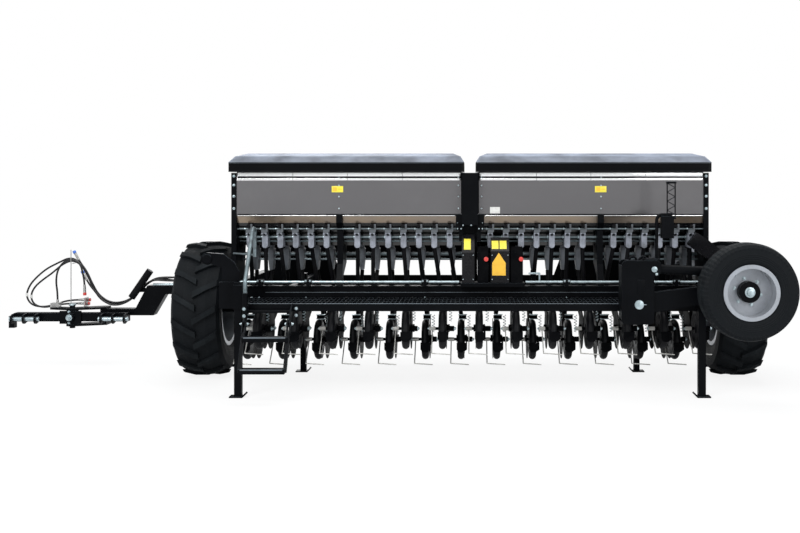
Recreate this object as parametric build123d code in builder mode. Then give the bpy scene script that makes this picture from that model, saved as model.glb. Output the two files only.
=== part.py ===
from build123d import *
import os
from collections import namedtuple
from math import radians, sin, tan

# A trailed box seed drill for 26 rows, parked on its legs and its two lug tyres, with the
# drawbar for end-on transport on its left and the raised transport wheels on its right.
#
# Millimetres. X runs across the machine (+X is its right-hand side seen from behind), +Y is
# the way it works and Z is up from the ground. Places are measured from the middle of the
# wheel axle line on the ground. keep() then moves each finished piece to the row's origin,
# which is the middle of the whole machine on the ground.

# ------------------------------------------------------------------ driving sizes
ROWS = 26                    # seed rows
ROW_PITCH = 150.0            # between two rows
FIT = 0.3                    # between pieces of different nodes that seat on each other
SLIDE_FIT = 0.4              # around a sliding leg

# main frame
SIDE_X = 1940.0              # middle of a side beam
SIDE_W = 70.0
SIDE_Z0 = 690.0
SIDE_Z1 = 860.0
SIDE_REAR_Y = -970.0         # rear end of the side beams
REAR_BEAM_Y = -470.0         # beam under the back of the hoppers
BEAM_W = 100.0               # of the rear beam, fore and aft
BEAM_Z0 = 735.0
BEAM_Z1 = 825.0
FRONT_BEAM_Y = 720.0
FRONT_BEAM_W = 120.0
FRONT_BEAM_Z0 = 640.0
FRONT_BEAM_Z1 = 720.0
INNER_X = 1488.0             # fore-and-aft beams that hold the front legs
INNER_W = 48.0
SHAFT_BEAM_Y = 460.0         # square beam that the opener arms hang from
SHAFT_BEAM = 80.0
SHAFT_BEAM_Z = 640.0

CENTRE_BEAM_W = 80.0
CARRIER_BEAM = 80.0
WHEEL_PLATE_T = 16.0         # drop plate that holds a field wheel's axle
WHEEL_PLATE_Y = 140.0
WHEEL_PLATE_DROP = 90.0
AXLE_COLLAR = 30.0
AXLE_TIP = 60.0
PLATE_Z0 = 688.0             # end plates that carry the rear legs
PLATE_Z1 = 900.0
GUARD_T = 8.0                # splash guard on the front face of the front beam
GUARD_X0 = -1288.0           # it is lower between these places
GUARD_X1 = 859.0
GUARD_SLANT = 60.0
GUARD_Z0 = 665.0
GUARD_LOW = 812.0
GUARD_HIGH = 973.0
SHELF_X0 = -80.0             # shelf for the drives
SHELF_X1 = 450.0
SHELF_Y = -610.0
SHELF_Z = 857.0
SETTING_Y = -560.0           # depth-setting shaft
SETTING_Z = 862.0
SETTING_R = 11.0
CLAMP_X = (-1733.0, -1337.0, -371.0, 798.0, 1704.0)
CLAMP_W = 58.0
CLAMP_D = 50.0
CLAMP_OUT = 65.0
CLAMP_Z0 = 841.0
CLAMP_Z1 = 883.0
CRANK_X = 574.0
CRANK_H = 71.0
CRANK_L = 90.0
CRANK_R = 8.0
HOOK_X = -SIDE_X - 130.0
HOOK_Z = 1081.0
HOOK_R = 48.0
HOOK_T = 25.0
HOOK_BOSS_R = 36.0
HOOK_BOSS_OUT = 12.0

# wheels
WheelSize = namedtuple("WheelSize", "tyre_d tyre_w crown lugs lug_h bead_r bead_half flange_r "
                                    "disc_x hub_r hub_in hub_out axle_r")
FIELD = WheelSize(tyre_d=1175.0, tyre_w=410.0, crown=24.0, lugs=16, lug_h=30.0, bead_r=305.0, bead_half=165.0,
                  flange_r=328.0, disc_x=40.0, hub_r=95.0, hub_in=90.0, hub_out=90.0,
                  axle_r=38.0)
ROAD = WheelSize(tyre_d=750.0, tyre_w=264.0, crown=16.0, lugs=0, lug_h=0.0, bead_r=194.5, bead_half=114.0,
                 flange_r=212.5, disc_x=-10.0, hub_r=80.0, hub_in=100.0, hub_out=62.0,
                 axle_r=30.0)
FIELD_OUT = 313.0            # middle of a field wheel, out from the side beam
RIM_T = 12.0                 # rim barrel and disc
LUG_HALF = 27.0              # half the width of a lug
LUG_RISE = 125.0             # how far a lug climbs from the middle to the shoulder

# hoppers and lids
HOPPER_X0 = 75.0             # inner end wall
HOPPER_X1 = 1950.0           # outer end wall
HOPPER_WALL = 4.0
PANEL_Y = -470.0             # upright rear panel
PANEL_Z0 = 1422.0
PANEL_Z1 = 1700.0
RIM_Z = 1772.7               # top of the hopper rims, where the lids seat
RIM_IN = 15.0                # how far the wall leans in between panel and rim
FRONT_Y = 330.0              # upright front wall
LID_X0 = 48.0
LID_X1 = 2010.0
LID_OVER = 57.0              # how far a lid stands out past the hopper walls
LID_BAND = 80.0              # upright band round the lid
LID_RISE = 84.0              # from the band to the flat top
LID_T = 6.0
LID_CORNER = 25.0
LID_END_IN = 95.0            # how far the flat top stands in at the ends
LID_EDGE_IN = 330.0          # and at the long edges
LID_LIP_END = 40.0
LID_LIP = 86.0               # flange turned in under the lid
FUNNEL_Z = 1285.0            # bottom of the rear hopper funnel
FUNNEL_Y0 = -410.0
FUNNEL_Y1 = -340.0
SADDLE_Y = -300.0            # ridge between the two funnels
SADDLE_Z = 1370.0
TROUGH_Z = 1150.0            # bottom of the front funnel
TROUGH_Y0 = -265.0
TROUGH_Y1 = -155.0
SLOPE_Z = 1560.0             # where the front wall starts to slope in
POST_X = 1090.0              # hanger posts under the middle of each hopper
POST_W = 50.0
POST_FLANGE = 10.0
END_T = 10.0                 # end post plate
END_FLANGE = 42.0
END_TIE_X = 1970.0
SKIRT_Y = 200.0              # sheet that hangs between the posts below the front funnels
SKIRT_T = 8.0
SKIRT_Z0 = 1010.0
SKIRT_Z1 = 1165.0
COLUMN_X = 67.0
COLUMN_Y = -535.0
COLUMN_Z0 = 1331.0
COLUMN_Z1 = 1765.0

# metering
UNIT_PITCH = 129.3
UNIT_X0 = 171.0              # first unit beside the middle
UNIT_GAP_AFTER = 7           # one place is left out for the hanger post
UNIT_W = 47.0
REAR_UNIT_Y = -420.0         # rear face of the rear row of units
REAR_UNIT_Z0 = 1135.0
REAR_UNIT_Z1 = 1285.0
FRONT_UNIT_Y = -270.0
FRONT_UNIT_Z0 = 940.0
FRONT_UNIT_Z1 = 1150.0
FRONT_UNIT_IN = 22.0         # the front row stands this much nearer the middle
UNIT_DEPTH = 110.0
UNIT_CORNER = 21.0
NECK_H = 28.0                # between a unit's housing and its hopper
NECK_X = 16.0
GATE_Y = -456.0              # gate slide plate behind the rear units
GATE_T = 4.0
GATE_UP = 52.0
TUBE_R = 17.0
# shafts across the machine: y, z, radius
SHAFTS = [
    (-440.0, 1297.0, 6.0),
    (-365.0, 1225.0, 12.0),
    (-325.0, 1190.0, 8.0),
    (-215.0, 1075.0, 14.0),
    (-235.0, 1030.0, 8.0),
]
# drive boxes on the shelf: name, x0, x1, rear y, height of the rear face, height of the top
Drive = namedtuple("Drive", "x0 x1 y rear_z top_z")
COVERS = [Drive(-67.0, 37.0, -590.0, 1107.0, 1249.0), Drive(172.0, 323.0, -590.0, 1118.0, 1225.0)]
GEARBOXES = [Drive(62.0, 152.0, -580.0, 1100.0, 1150.0), Drive(336.0, 437.0, -580.0, 1100.0, 1150.0)]
DRIVE_FRONT_Y = -445.0

# openers: one table row for each bar of openers
OpenerRow = namedtuple("OpenerRow", "first disc_y disc_z wheel_y wheel_z tube_y")
REAR_ROW = OpenerRow(first=1, disc_y=-265.0, disc_z=443.0, wheel_y=-620.0, wheel_z=485.0,
                     tube_y=-310.0)
FRONT_ROW = OpenerRow(first=0, disc_y=-5.0, disc_z=319.0, wheel_y=-360.0, wheel_z=361.0,
                      tube_y=-105.0)
DISC_R = 175.0
DISC_T = 4.0
DISC_TILT = 4.0
DISC_X = 25.0                # each disc from its row's middle
DISC_HUB_R = 30.0
PRESS_R = 167.5
PRESS_W = 57.0
ARM_T = 20.0
SIDE_PLATE_X = 46.0          # plate beside the press wheel
SIDE_PLATE_T = 10.0
PRESS_AXLE_R = 12.0
HEAD_T = 18.0
ARM_RING_R = 44.0            # ring of the arm on the disc hub
HEAD_UP = 200.0              # top of the seed boot, above the disc's middle
SCRAPER_GAP = 2.0
SCRAPER_T = 5.0
CAP_R = 22.0
CAP_L = 43.0
HOLDER_R = 16.0
HOLDER_L = 50.0
TINE_BACK = 17.0             # how far behind the press wheel a tine ends
TINE_DROP = 175.0
TINE_R = 4.5
TINE_X = -84.0               # tine holder, from the row's middle
TINE_SWEEP = 150.0           # sideways end of a tine

# footboard, ladder and rail
BOARD_X = 1842.0
BOARD_REAR_Y = -970.0
BOARD_Z = 729.0
BOARD_T = 30.0
BOARD_LIP = 62.0
BOARD_LIP_T = 6.0
BOARD_EDGE = 14.0
GRATE_PITCH = 34.0           # between the grating's bars
GRATE_BAR = 5.0
GRATE_ROWS = 3
LADDER_X0 = -1747.0
LADDER_X1 = -1401.0
LADDER_HINGE_Y = -1110.0
LADDER_HINGE_Z = 585.0
LADDER_FOOT_Y = -1300.0
LADDER_FOOT_Z = 245.0
LADDER_PLATE_T = 8.0
LADDER_GAP = 5.0             # between a hinge plate and the ears beside it
EAR_T = 6.0
EAR_R = 20.0
HINGE_R = 8.0
HINGE_OUT = 22.0
STRINGER = 26.0
STEP_DEPTH = 80.0
STEP_H = 38.0
STEP_SHARES = (0.32, 0.98)   # places of the two steps down the ladder
RAIL_R = 16.0
RAIL_Y0 = -1085.0
RAIL_Z0 = 822.0
RAIL_Y1 = -715.0
RAIL_Z1 = 1310.0
RAIL_TIE_R = 8.0
RAIL_TIE_DROP = 215.0        # the tie, below the rail's top

# parking legs
LegPlace = namedtuple("LegPlace", "name x y size top")
LEGS = [
    LegPlace("leg_rear_left", -1815.0, -1013.0, 56.0, 900.0),
    LegPlace("leg_rear_right", 1815.0, -1013.0, 56.0, 900.0),
    LegPlace("leg_front_left", -INNER_X, 150.0, 50.0, 880.0),
    LegPlace("leg_front_right", INNER_X, 150.0, 50.0, 880.0),
]
FOOT_X = 130.0               # foot plate
FOOT_Y = 90.0
FOOT_T = 10.0
FOOT_BEND = 26.0             # upturned inner end
SOCKET_T = 7.0
SOCKET_Z0 = 690.0
SOCKET_Z1 = 880.0

# end-on transport wheels: one carrier on the rear and one on the front of the frame
Carrier = namedtuple("Carrier", "name back_y out")
CARRIERS = [Carrier("rear", -984.0, -1), Carrier("front", 900.0, 1)]
CARRIER_X0 = 1169.0
CARRIER_X1 = 1474.0
CARRIER_WAIST_X = 1420.0     # outer edge below the lobe of the cylinder's pin
CARRIER_LOBE_Z = 961.0
CARRIER_Z0 = 585.0
CARRIER_Z1 = 1078.0
CARRIER_DEPTH = 166.0
CARRIER_T = 12.0
CARRIER_CORNER = 40.0
RACK_X = 1453.0              # tool rack on the rear carrier
RACK_FOOT = 124.0
RACK_R = 13.0
RACK_TOP = 1430.0
RACK_TIP_X = 1573.0
RACK_BEND = 45.0
RACK_LATTICE = (1535.0, 1597.0)
HOLDER_Z0 = 1248.0
LATTICE_Z1 = 1676.0
SIDE_BOX_X = 1950.0          # tilted box at the right end
SIDE_BOX_Z = 1143.0
SIDE_BOX_L = 270.0
SIDE_BOX_H = 125.0
SIDE_BOX_W = 80.0
SIDE_BOX_TILT = 36.0
PIVOT_X = 1304.0
PIVOT_Z = 738.0
PIVOT_R = 35.0
ROAD_X = 2108.0              # raised transport wheel
ROAD_Z = 851.0
ROAD_OUT = 286.0             # its middle, from the carrier's back
ARM_IN = 83.0                # near face of the arm, from the carrier's back
ARM_W = 60.0
ARM_R0 = 80.0
ARM_R1 = 62.0
PIN_X = 1421.0               # upper pin, which holds the cylinder
PIN_Z = 1011.0
PIN_R = 22.5
EYE_X = 1900.0               # rod eye at rest
EYE_Z = 990.0
EYE_R = 40.0
EYE_W = 32.0
LUG_T = 12.0
LUG_ROOT_R = 60.0
BOSS_R = 60.0
BARREL_EYE_W = 72.0
BARREL_R = 36.0
BARREL_SHORT = 80.0          # barrel end to the rod eye at rest
ROD_R = 16.0
CYLINDER_IN = 113.0          # middle of the cylinder, from the carrier's back

# drawbar and hitch
FLANGE_X = -2560.0
POLE_X = -3475.0
POLE_Z0 = 440.0
POLE_Z1 = 502.0
NECK_X0 = -3156.0
NECK_X1 = -2986.0
NECK_TOP_X0 = -3043.0
NECK_TOP_X1 = -2870.0
HITCH_X = -3725.0
HITCH_Y = 600.0
HITCH_BAR = 80.0
HITCH_Z = 435.0
LINK_HALF = 412.5            # the two link pins are 825 apart
LINK_PITCH = 108.0
LINK_PLATE = 14.0
LINK_PIN_R = 18.3
LINK_PIN_OUT = 55.0
FORK_GAP = 130.0
FORK_T = 20.0
FORK_PIN_R = 25.0
HITCH_HUB_H = 120.0
STAND_TOP = 1060.0           # thin rod that holds the hoses up
STAND_X = -3752.0
STAND_Y = 634.0
STAND_R = 4.0
VALVE_X0 = -3940.0           # hose block on the fork's tongue
VALVE_X1 = -3862.0
VALVE_Y0 = 612.0
VALVE_Y1 = 690.0
VALVE_Z1 = 560.0
CLIP_Z = 660.0               # clip of the document tube
CANISTER_R = 33.0

# hoses: each route in a plane of its own, from the port on the front beam towards the hitch
HOSE_R = 8.5
HOSE_Y = (745.0, 723.0, 701.0, 679.0, 655.0)
PORT_X = -SIDE_X - 290.0      # hose block on the front beam, beyond the side beam
PORT_Y0 = 665.0
PORT_Y1 = 775.0
PORT_Z1 = 815.0
COUPLER_R = 13.0
COUPLER_L = 46.0
CAP_RADIUS = 15.0
CAP_LENGTH = 24.0
PARK_X = -3640.0             # plate that the couplers are parked in
PARK_Z1 = 605.0
HOOK_BAR_Z = 929.0



def route(lane, *places):
    """Points of one hose in its own plane, from places across and up."""
    return [(x, HOSE_Y[lane], z) for x, z in places]


# name: its points and whether its end carries a loose coupler
HOSES = {
    "hose_outer": (route(0, (-2230, 790), (-2440, 790), (-2650, 780), (-2850, 796), (-3010, 785),
                         (-3120, 680), (-3230, 580), (-3380, 534), (-3520, 596), (-3590, 710),
                         (-3640, 830), (-3700, 935), (-3800, 985), (-3915, 930), (-4020, 878),
                         (-4115, 800), (-4190, 715), (-4222, 615), (-4175, 533), (-4075, 508),
                         (-3945, 530), (-3818, 578), (-3690, 578)), False),
    "hose_inner": (route(1, (-2230, 758), (-2440, 758), (-2650, 750), (-2850, 772), (-3017, 780),
                         (-3124, 676), (-3230, 566), (-3370, 520), (-3500, 575), (-3575, 690),
                         (-3628, 812), (-3688, 915), (-3772, 958), (-3868, 918), (-3958, 838),
                         (-4055, 770), (-4135, 700), (-4172, 610), (-4132, 530), (-4035, 506),
                         (-3920, 532), (-3807, 546), (-3692, 546)), False),
    "hose_top": (route(2, (-2230, 790), (-2440, 790), (-2650, 800), (-2850, 794), (-3012, 774),
                       (-3118, 670), (-3235, 572), (-3390, 548), (-3510, 622), (-3575, 735),
                       (-3625, 850), (-3685, 930), (-3716, 985)), True),
    "hose_short": (route(3, (-2230, 758), (-2440, 758), (-2650, 766), (-2850, 764), (-3016, 778),
                         (-3130, 666), (-3232, 562), (-3375, 526), (-3480, 584), (-3545, 668),
                         (-3600, 735), (-3632, 795)), True),
    "hose_loop": (route(4, (-3886, 560), (-3886, 650), (-3902, 755), (-3890, 860), (-3835, 945),
                        (-3750, 975), (-3672, 930), (-3648, 835), (-3634, 760), (-3632, 700)),
                  True),
}

# ------------------------------------------------------------------ worked-out places
MACHINE_LEFT = HITCH_X - LINK_HALF - LINK_PITCH - 60.0
MACHINE_RIGHT = SIDE_X + SIDE_W / 2 + FIELD_OUT + FIELD.tyre_w / 2
MACHINE_REAR = CARRIERS[0].back_y - ROAD_OUT - ROAD.tyre_w / 2
MACHINE_FRONT = CARRIERS[1].back_y + ROAD_OUT + ROAD.tyre_w / 2
CENTRE_X = (MACHINE_LEFT + MACHINE_RIGHT) / 2
CENTRE_Y = (MACHINE_REAR + MACHINE_FRONT) / 2
FIELD_X = SIDE_X + SIDE_W / 2 + FIELD_OUT
AXLE_Z = FIELD.tyre_d / 2
BEAM_REAR = REAR_BEAM_Y - BEAM_W / 2
FRONT_BEAM_Y0 = FRONT_BEAM_Y - FRONT_BEAM_W / 2
FRONT_BEAM_Y1 = FRONT_BEAM_Y + FRONT_BEAM_W / 2
SIDES = (-1, 1)
LID_Y0 = PANEL_Y - LID_OVER
LID_Y1 = FRONT_Y + LID_OVER
LID_Z0 = RIM_Z + FIT

ROW_X = [(i - (ROWS - 1) / 2) * ROW_PITCH for i in range(ROWS)]


def unit_place(n):
    """Distance from the middle of the machine to the n-th metering unit of one side."""
    skipped = 1 if n >= UNIT_GAP_AFTER else 0
    return UNIT_X0 + (n + skipped) * UNIT_PITCH


# ------------------------------------------------------------------ shared shapes
def block(x0, x1, y0, y1, z0, z1, mode=Mode.ADD):
    """A box between six planes, in the part that is being built."""
    with Locations(((x0 + x1) / 2, (y0 + y1) / 2, (z0 + z1) / 2)):
        Box(abs(x1 - x0), abs(y1 - y0), abs(z1 - z0), mode=mode)


def bar(start, end, radius, mode=Mode.ADD):
    """A round bar from one point to another, in the part that is being built."""
    line = Vector(*end) - Vector(*start)
    with Locations(Plane(origin=start, z_dir=line)):
        Cylinder(radius, line.length, align=(Align.CENTER, Align.CENTER, Align.MIN), mode=mode)


def side_plane(x):
    """Plane across the machine's X at x, with its own x along +Y and its y up."""
    return Plane(origin=(x, 0, 0), x_dir=(0, 1, 0), z_dir=(1, 0, 0))


def back_plane(y):
    """Upright plane at y with its own x along +X and its y up; it faces the rear."""
    return Plane(origin=(0, y, 0), x_dir=(1, 0, 0), z_dir=(0, -1, 0))


def wheel_plane(centre, outward):
    """Plane through a wheel's axle, with x along the axle, outwards, and y up."""
    out = Vector(*outward)
    return Plane(origin=centre, x_dir=out, z_dir=out.cross(Vector(0, 0, 1)))


def keep(part, name):
    """Move a finished piece to the row's origin, label it and write its file."""
    placed = Pos(-CENTRE_X, -CENTRE_Y, 0) * part
    placed.label = name
    export_step(placed, f"parts/{name}.step")


# ------------------------------------------------------------------ main frame
def clamp_bracket(x):
    """Bracket on the rear beam that holds the depth-setting shaft."""
    rear = BEAM_REAR - CLAMP_OUT
    block(x - CLAMP_W / 4, x + CLAMP_W / 4, rear, BEAM_REAR + 20, BEAM_Z1, CLAMP_Z0)
    block(x - CLAMP_W / 2, x + CLAMP_W / 2, rear, rear + CLAMP_D, CLAMP_Z0, CLAMP_Z1)


def make_side_beams():
    """Side beams with the wheel brackets, their stub axles and the rear leg sockets."""
    inside = SIDE_X - SIDE_W / 2
    outside = SIDE_X + SIDE_W / 2
    half = SHAFT_BEAM / 2
    with BuildPart() as beams:
        for side in SIDES:
            block(side * inside, side * outside, SIDE_REAR_Y, FRONT_BEAM_Y0, SIDE_Z0, SIDE_Z1)
            block(side * inside, side * outside, FRONT_BEAM_Y0, FRONT_BEAM_Y1,
                  FRONT_BEAM_Z1, SIDE_Z1)
            block(side * inside, side * outside, SHAFT_BEAM_Y - half, SHAFT_BEAM_Y + half,
                  SHAFT_BEAM_Z - half, SIDE_Z0)
            drop = outside + WHEEL_PLATE_T
            block(side * outside, side * drop, -WHEEL_PLATE_Y, WHEEL_PLATE_Y,
                  AXLE_Z - WHEEL_PLATE_DROP, SIDE_Z1)
            tip = FIELD_X + AXLE_TIP
            bar((side * outside, 0, AXLE_Z), (side * tip, 0, AXLE_Z), FIELD.axle_r)
            bar((side * drop, 0, AXLE_Z), (side * (drop + AXLE_COLLAR), 0, AXLE_Z),
                FIELD.axle_r + SOCKET_T * 3)
        for leg in LEGS[:2]:
            side = 1 if leg.x > 0 else -1
            outer = leg.size / 2 + SLIDE_FIT + SOCKET_T
            block(leg.x - side * outer, side * outside, leg.y + outer, SIDE_REAR_Y,
                  PLATE_Z0, PLATE_Z1)
            leg_socket(leg)
    keep(beams.part, "side_beams")


def leg_socket(leg):
    """Square socket that a parking leg slides in."""
    outer = leg.size / 2 + SLIDE_FIT + SOCKET_T
    hole = leg.size / 2 + SLIDE_FIT
    block(leg.x - outer, leg.x + outer, leg.y - outer, leg.y + outer, SOCKET_Z0, SOCKET_Z1)
    block(leg.x - hole, leg.x + hole, leg.y - hole, leg.y + hole,
          SOCKET_Z0 - 5, SOCKET_Z1 + 5, mode=Mode.SUBTRACT)


def make_inner_beams():
    """Fore-and-aft beams between the rear and the front beam, with the front leg sockets."""
    half = SHAFT_BEAM / 2
    with BuildPart() as beams:
        for x, width in ((-INNER_X, INNER_W), (0.0, CENTRE_BEAM_W), (INNER_X, INNER_W)):
            block(x - width / 2, x + width / 2, BEAM_REAR + BEAM_W, FRONT_BEAM_Y1,
                  FRONT_BEAM_Z1, BEAM_Z1)
            block(x - width / 2, x + width / 2, SHAFT_BEAM_Y - half, SHAFT_BEAM_Y + half,
                  SHAFT_BEAM_Z + half, FRONT_BEAM_Z1)
        for leg in LEGS[2:]:
            leg_socket(leg)
    keep(beams.part, "inner_beams")


def make_front_beam():
    """Front beam, which the drawbar pulls, with its splash guard, and the opener beam."""
    inside = SIDE_X - SIDE_W / 2
    outside = SIDE_X + SIDE_W / 2
    with BuildPart() as beam:
        block(FLANGE_X, outside, FRONT_BEAM_Y0, FRONT_BEAM_Y1, FRONT_BEAM_Z0, FRONT_BEAM_Z1)
        block(PIVOT_X - CARRIER_BEAM / 2, PIVOT_X + CARRIER_BEAM / 2,
              FRONT_BEAM_Y1, CARRIERS[1].back_y - FIT, FRONT_BEAM_Z0, FRONT_BEAM_Z1)
        end = inside - FIT
        with BuildSketch(back_plane(FRONT_BEAM_Y1 + GUARD_T)):
            with BuildLine():
                Polyline((-end, GUARD_Z0), (end, GUARD_Z0), (end, GUARD_HIGH), (GUARD_X1, GUARD_HIGH),
                         (GUARD_X1 - GUARD_SLANT, GUARD_LOW), (GUARD_X0 + GUARD_SLANT, GUARD_LOW),
                         (GUARD_X0, GUARD_HIGH), (-end, GUARD_HIGH), close=True)
            make_face()
        extrude(amount=GUARD_T)
    keep(beam.part, "front_beam")
    half = SHAFT_BEAM / 2
    with BuildPart() as beam:
        block(-inside, inside, SHAFT_BEAM_Y - half, SHAFT_BEAM_Y + half,
              SHAFT_BEAM_Z - half, SHAFT_BEAM_Z + half)
    keep(beam.part, "opener_beam")


def make_rear_beam():
    """Rear beam with the shaft clamps, the drive shelf and the stub for the rear carrier."""
    inside = SIDE_X - SIDE_W / 2
    with BuildPart() as beam:
        block(-inside, inside, BEAM_REAR, BEAM_REAR + BEAM_W, BEAM_Z0, BEAM_Z1)
        for x in CLAMP_X:
            clamp_bracket(x)
        block(SHELF_X0, SHELF_X1, SHELF_Y, BEAM_REAR + BEAM_W - 5, BEAM_Z1, SHELF_Z)
        block(PIVOT_X - CARRIER_BEAM / 2, PIVOT_X + CARRIER_BEAM / 2,
              CARRIERS[0].back_y + FIT, BEAM_REAR, BEAM_Z0, BEAM_Z1)
        for x in CLAMP_X:
            bar((x - CLAMP_W, SETTING_Y, SETTING_Z), (x + CLAMP_W, SETTING_Y, SETTING_Z),
                SETTING_R + FIT, mode=Mode.SUBTRACT)
    keep(beam.part, "rear_beam")


def make_setting_shaft():
    """Zinc shaft behind the hoppers that sets the sowing depth, with its hand crank."""
    with BuildPart() as shaft:
        for x0, x1 in ((-inner_end(), SHELF_X0 - 10), (SHELF_X1 + 10, inner_end())):
            bar((x0, SETTING_Y, SETTING_Z), (x1, SETTING_Y, SETTING_Z), SETTING_R)
        elbow = (CRANK_X, SETTING_Y, SETTING_Z + CRANK_H)
        bar((CRANK_X, SETTING_Y, SETTING_Z), elbow, CRANK_R)
        bar(elbow, (CRANK_X - CRANK_L, SETTING_Y, SETTING_Z + CRANK_H), CRANK_R)
        with Locations(elbow):
            Sphere(CRANK_R)
    keep(shaft.part, "setting_shaft")


def inner_end():
    """Where what lies between the side beams ends."""
    return SIDE_X - SIDE_W / 2 - FIT


def make_lock_hook():
    """Hooked lug plate on the left side beam, with its boss."""
    y0 = SIDE_REAR_Y + FIT
    with BuildPart() as hook:
        with BuildSketch(back_plane(y0 + HOOK_T)):
            with BuildLine():
                Polyline((HOOK_X + 114, SIDE_Z1 + FIT), (HOOK_X + 114, 1015), (HOOK_X + 38, 1034),
                         (HOOK_X, HOOK_Z), (HOOK_X, HOOK_Z + HOOK_R), (HOOK_X + 127, 1118),
                         (HOOK_X + 213, 1053), (HOOK_X + 253, 977), (HOOK_X + 253, SIDE_Z1 + FIT),
                         close=True)
            make_face()
            with Locations((HOOK_X, HOOK_Z)):
                Circle(HOOK_R)
        extrude(amount=HOOK_T)
        bar((HOOK_X, y0 - HOOK_BOSS_OUT, HOOK_Z), (HOOK_X, y0 + HOOK_T, HOOK_Z), HOOK_BOSS_R)
    keep(hook.part, "lock_hook")


# ------------------------------------------------------------------ footboard and ladder
def make_footboard():
    """Grated step board behind the hoppers, with its rear lip and the ladder's hinge plates."""
    rear = BOARD_REAR_Y + FIT
    depth = BEAM_REAR - FIT - rear
    cell_y = (depth - 2 * BOARD_EDGE - (GRATE_ROWS - 1) * GRATE_BAR) / GRATE_ROWS
    cell_x = GRATE_PITCH - GRATE_BAR
    count = int((2 * BOARD_X - 2 * BOARD_EDGE) / GRATE_PITCH)
    with BuildPart() as board:
        block(-BOARD_X, BOARD_X, rear, rear + depth, BOARD_Z - BOARD_T, BOARD_Z)
        with Locations((0, rear + depth / 2, BOARD_Z - BOARD_T / 2)):
            with GridLocations(GRATE_PITCH, cell_y + GRATE_BAR, count, GRATE_ROWS):
                Box(cell_x, cell_y, BOARD_T * 2, mode=Mode.SUBTRACT)
        block(-BOARD_X, BOARD_X, rear, rear + BOARD_LIP_T, BOARD_Z - BOARD_LIP, BOARD_Z)
        for x in (LADDER_X0, LADDER_X1):
            with BuildSketch(side_plane(x - LADDER_PLATE_T / 2)):
                with BuildLine():
                    Polyline((rear, BOARD_Z), (rear, BOARD_Z - BOARD_LIP),
                             (LADDER_HINGE_Y + 30, LADDER_HINGE_Z - 25),
                             (LADDER_HINGE_Y, LADDER_HINGE_Z - 25),
                             (LADDER_HINGE_Y - 22, LADDER_HINGE_Z + 15),
                             (LADDER_HINGE_Y + 45, LADDER_HINGE_Z + 100), close=True)
                make_face()
            extrude(amount=LADDER_PLATE_T)
        bar((LADDER_X0, rear - 35, BOARD_Z - 60), (LADDER_X1, rear - 35, BOARD_Z - 60), 12)
        bar((LADDER_X0, RAIL_Y0, LADDER_HINGE_Z + 45), (LADDER_X0, RAIL_Y0, RAIL_Z0), RAIL_R + 5)
        for x in (LADDER_X0, LADDER_X1):
            bar((x - HINGE_OUT, LADDER_HINGE_Y, LADDER_HINGE_Z),
                (x + HINGE_OUT, LADDER_HINGE_Y, LADDER_HINGE_Z), HINGE_R)
    keep(board.part, "footboard")


def make_ladder():
    """Folding lower ladder: two stringers with their hinge ears, and two steps."""
    drop = Vector(0, LADDER_FOOT_Y - LADDER_HINGE_Y, LADDER_FOOT_Z - LADDER_HINGE_Z)
    ear = LADDER_PLATE_T / 2 + LADDER_GAP
    with BuildPart() as ladder:
        for side, x in ((-1, LADDER_X0), (1, LADDER_X1)):
            inner = x - side * ear
            for ear_x in (x + side * (ear + EAR_T / 2), inner - side * EAR_T / 2):
                with BuildSketch(side_plane(ear_x - EAR_T / 2)):
                    with Locations((LADDER_HINGE_Y, LADDER_HINGE_Z)):
                        Circle(EAR_R)
                    with Locations((LADDER_HINGE_Y + drop.Y * 0.2, LADDER_HINGE_Z + drop.Z * 0.2)):
                        Circle(EAR_R)
                    make_hull()
                extrude(amount=EAR_T)
        for x in (LADDER_X0, LADDER_X1):
            start = (x, LADDER_HINGE_Y + drop.Y * 0.2, LADDER_HINGE_Z + drop.Z * 0.2)
            with Locations(Plane(origin=start, x_dir=(1, 0, 0), z_dir=drop)):
                Box(STRINGER, STRINGER, drop.length * 0.8,
                    align=(Align.CENTER, Align.CENTER, Align.MIN))
        for share in STEP_SHARES:
            with Locations((0.5 * (LADDER_X0 + LADDER_X1), LADDER_HINGE_Y + drop.Y * share,
                            LADDER_HINGE_Z + drop.Z * share)):
                Box(LADDER_X1 - LADDER_X0, STEP_DEPTH, STEP_H)
        for x in (LADDER_X0, LADDER_X1):
            bar((x - HINGE_OUT - 30, LADDER_HINGE_Y, LADDER_HINGE_Z),
                (x + HINGE_OUT + 30, LADDER_HINGE_Y, LADDER_HINGE_Z), HINGE_R + FIT,
                mode=Mode.SUBTRACT)
    keep(ladder.part, "ladder")


def make_handrail():
    """Rail beside the ladder, bent over at the top and tied to the hopper's end post."""
    with BuildPart() as rail:
        with BuildLine() as path:
            FilletPolyline((LADDER_X0, RAIL_Y0, RAIL_Z0 + FIT), (LADDER_X0, RAIL_Y0, RAIL_Z0 + 90),
                           (LADDER_X0, -800, RAIL_Z1), (LADDER_X0, RAIL_Y1, RAIL_Z1),
                           (LADDER_X0, RAIL_Y1, RAIL_Z1 - 230), radius=RAIL_R * 2.2)
        with BuildSketch(Plane(origin=path.line @ 0, z_dir=path.line % 0)):
            Circle(RAIL_R)
        sweep(path=path.line)
        bar((LADDER_X0, RAIL_Y1, RAIL_Z1 - RAIL_TIE_DROP),
            (-END_TIE_X, PANEL_Y - POST_FLANGE - FIT - RAIL_TIE_R * 0.75, RAIL_Z1 - RAIL_TIE_DROP),
            RAIL_TIE_R)
    keep(rail.part, "handrail")


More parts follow.
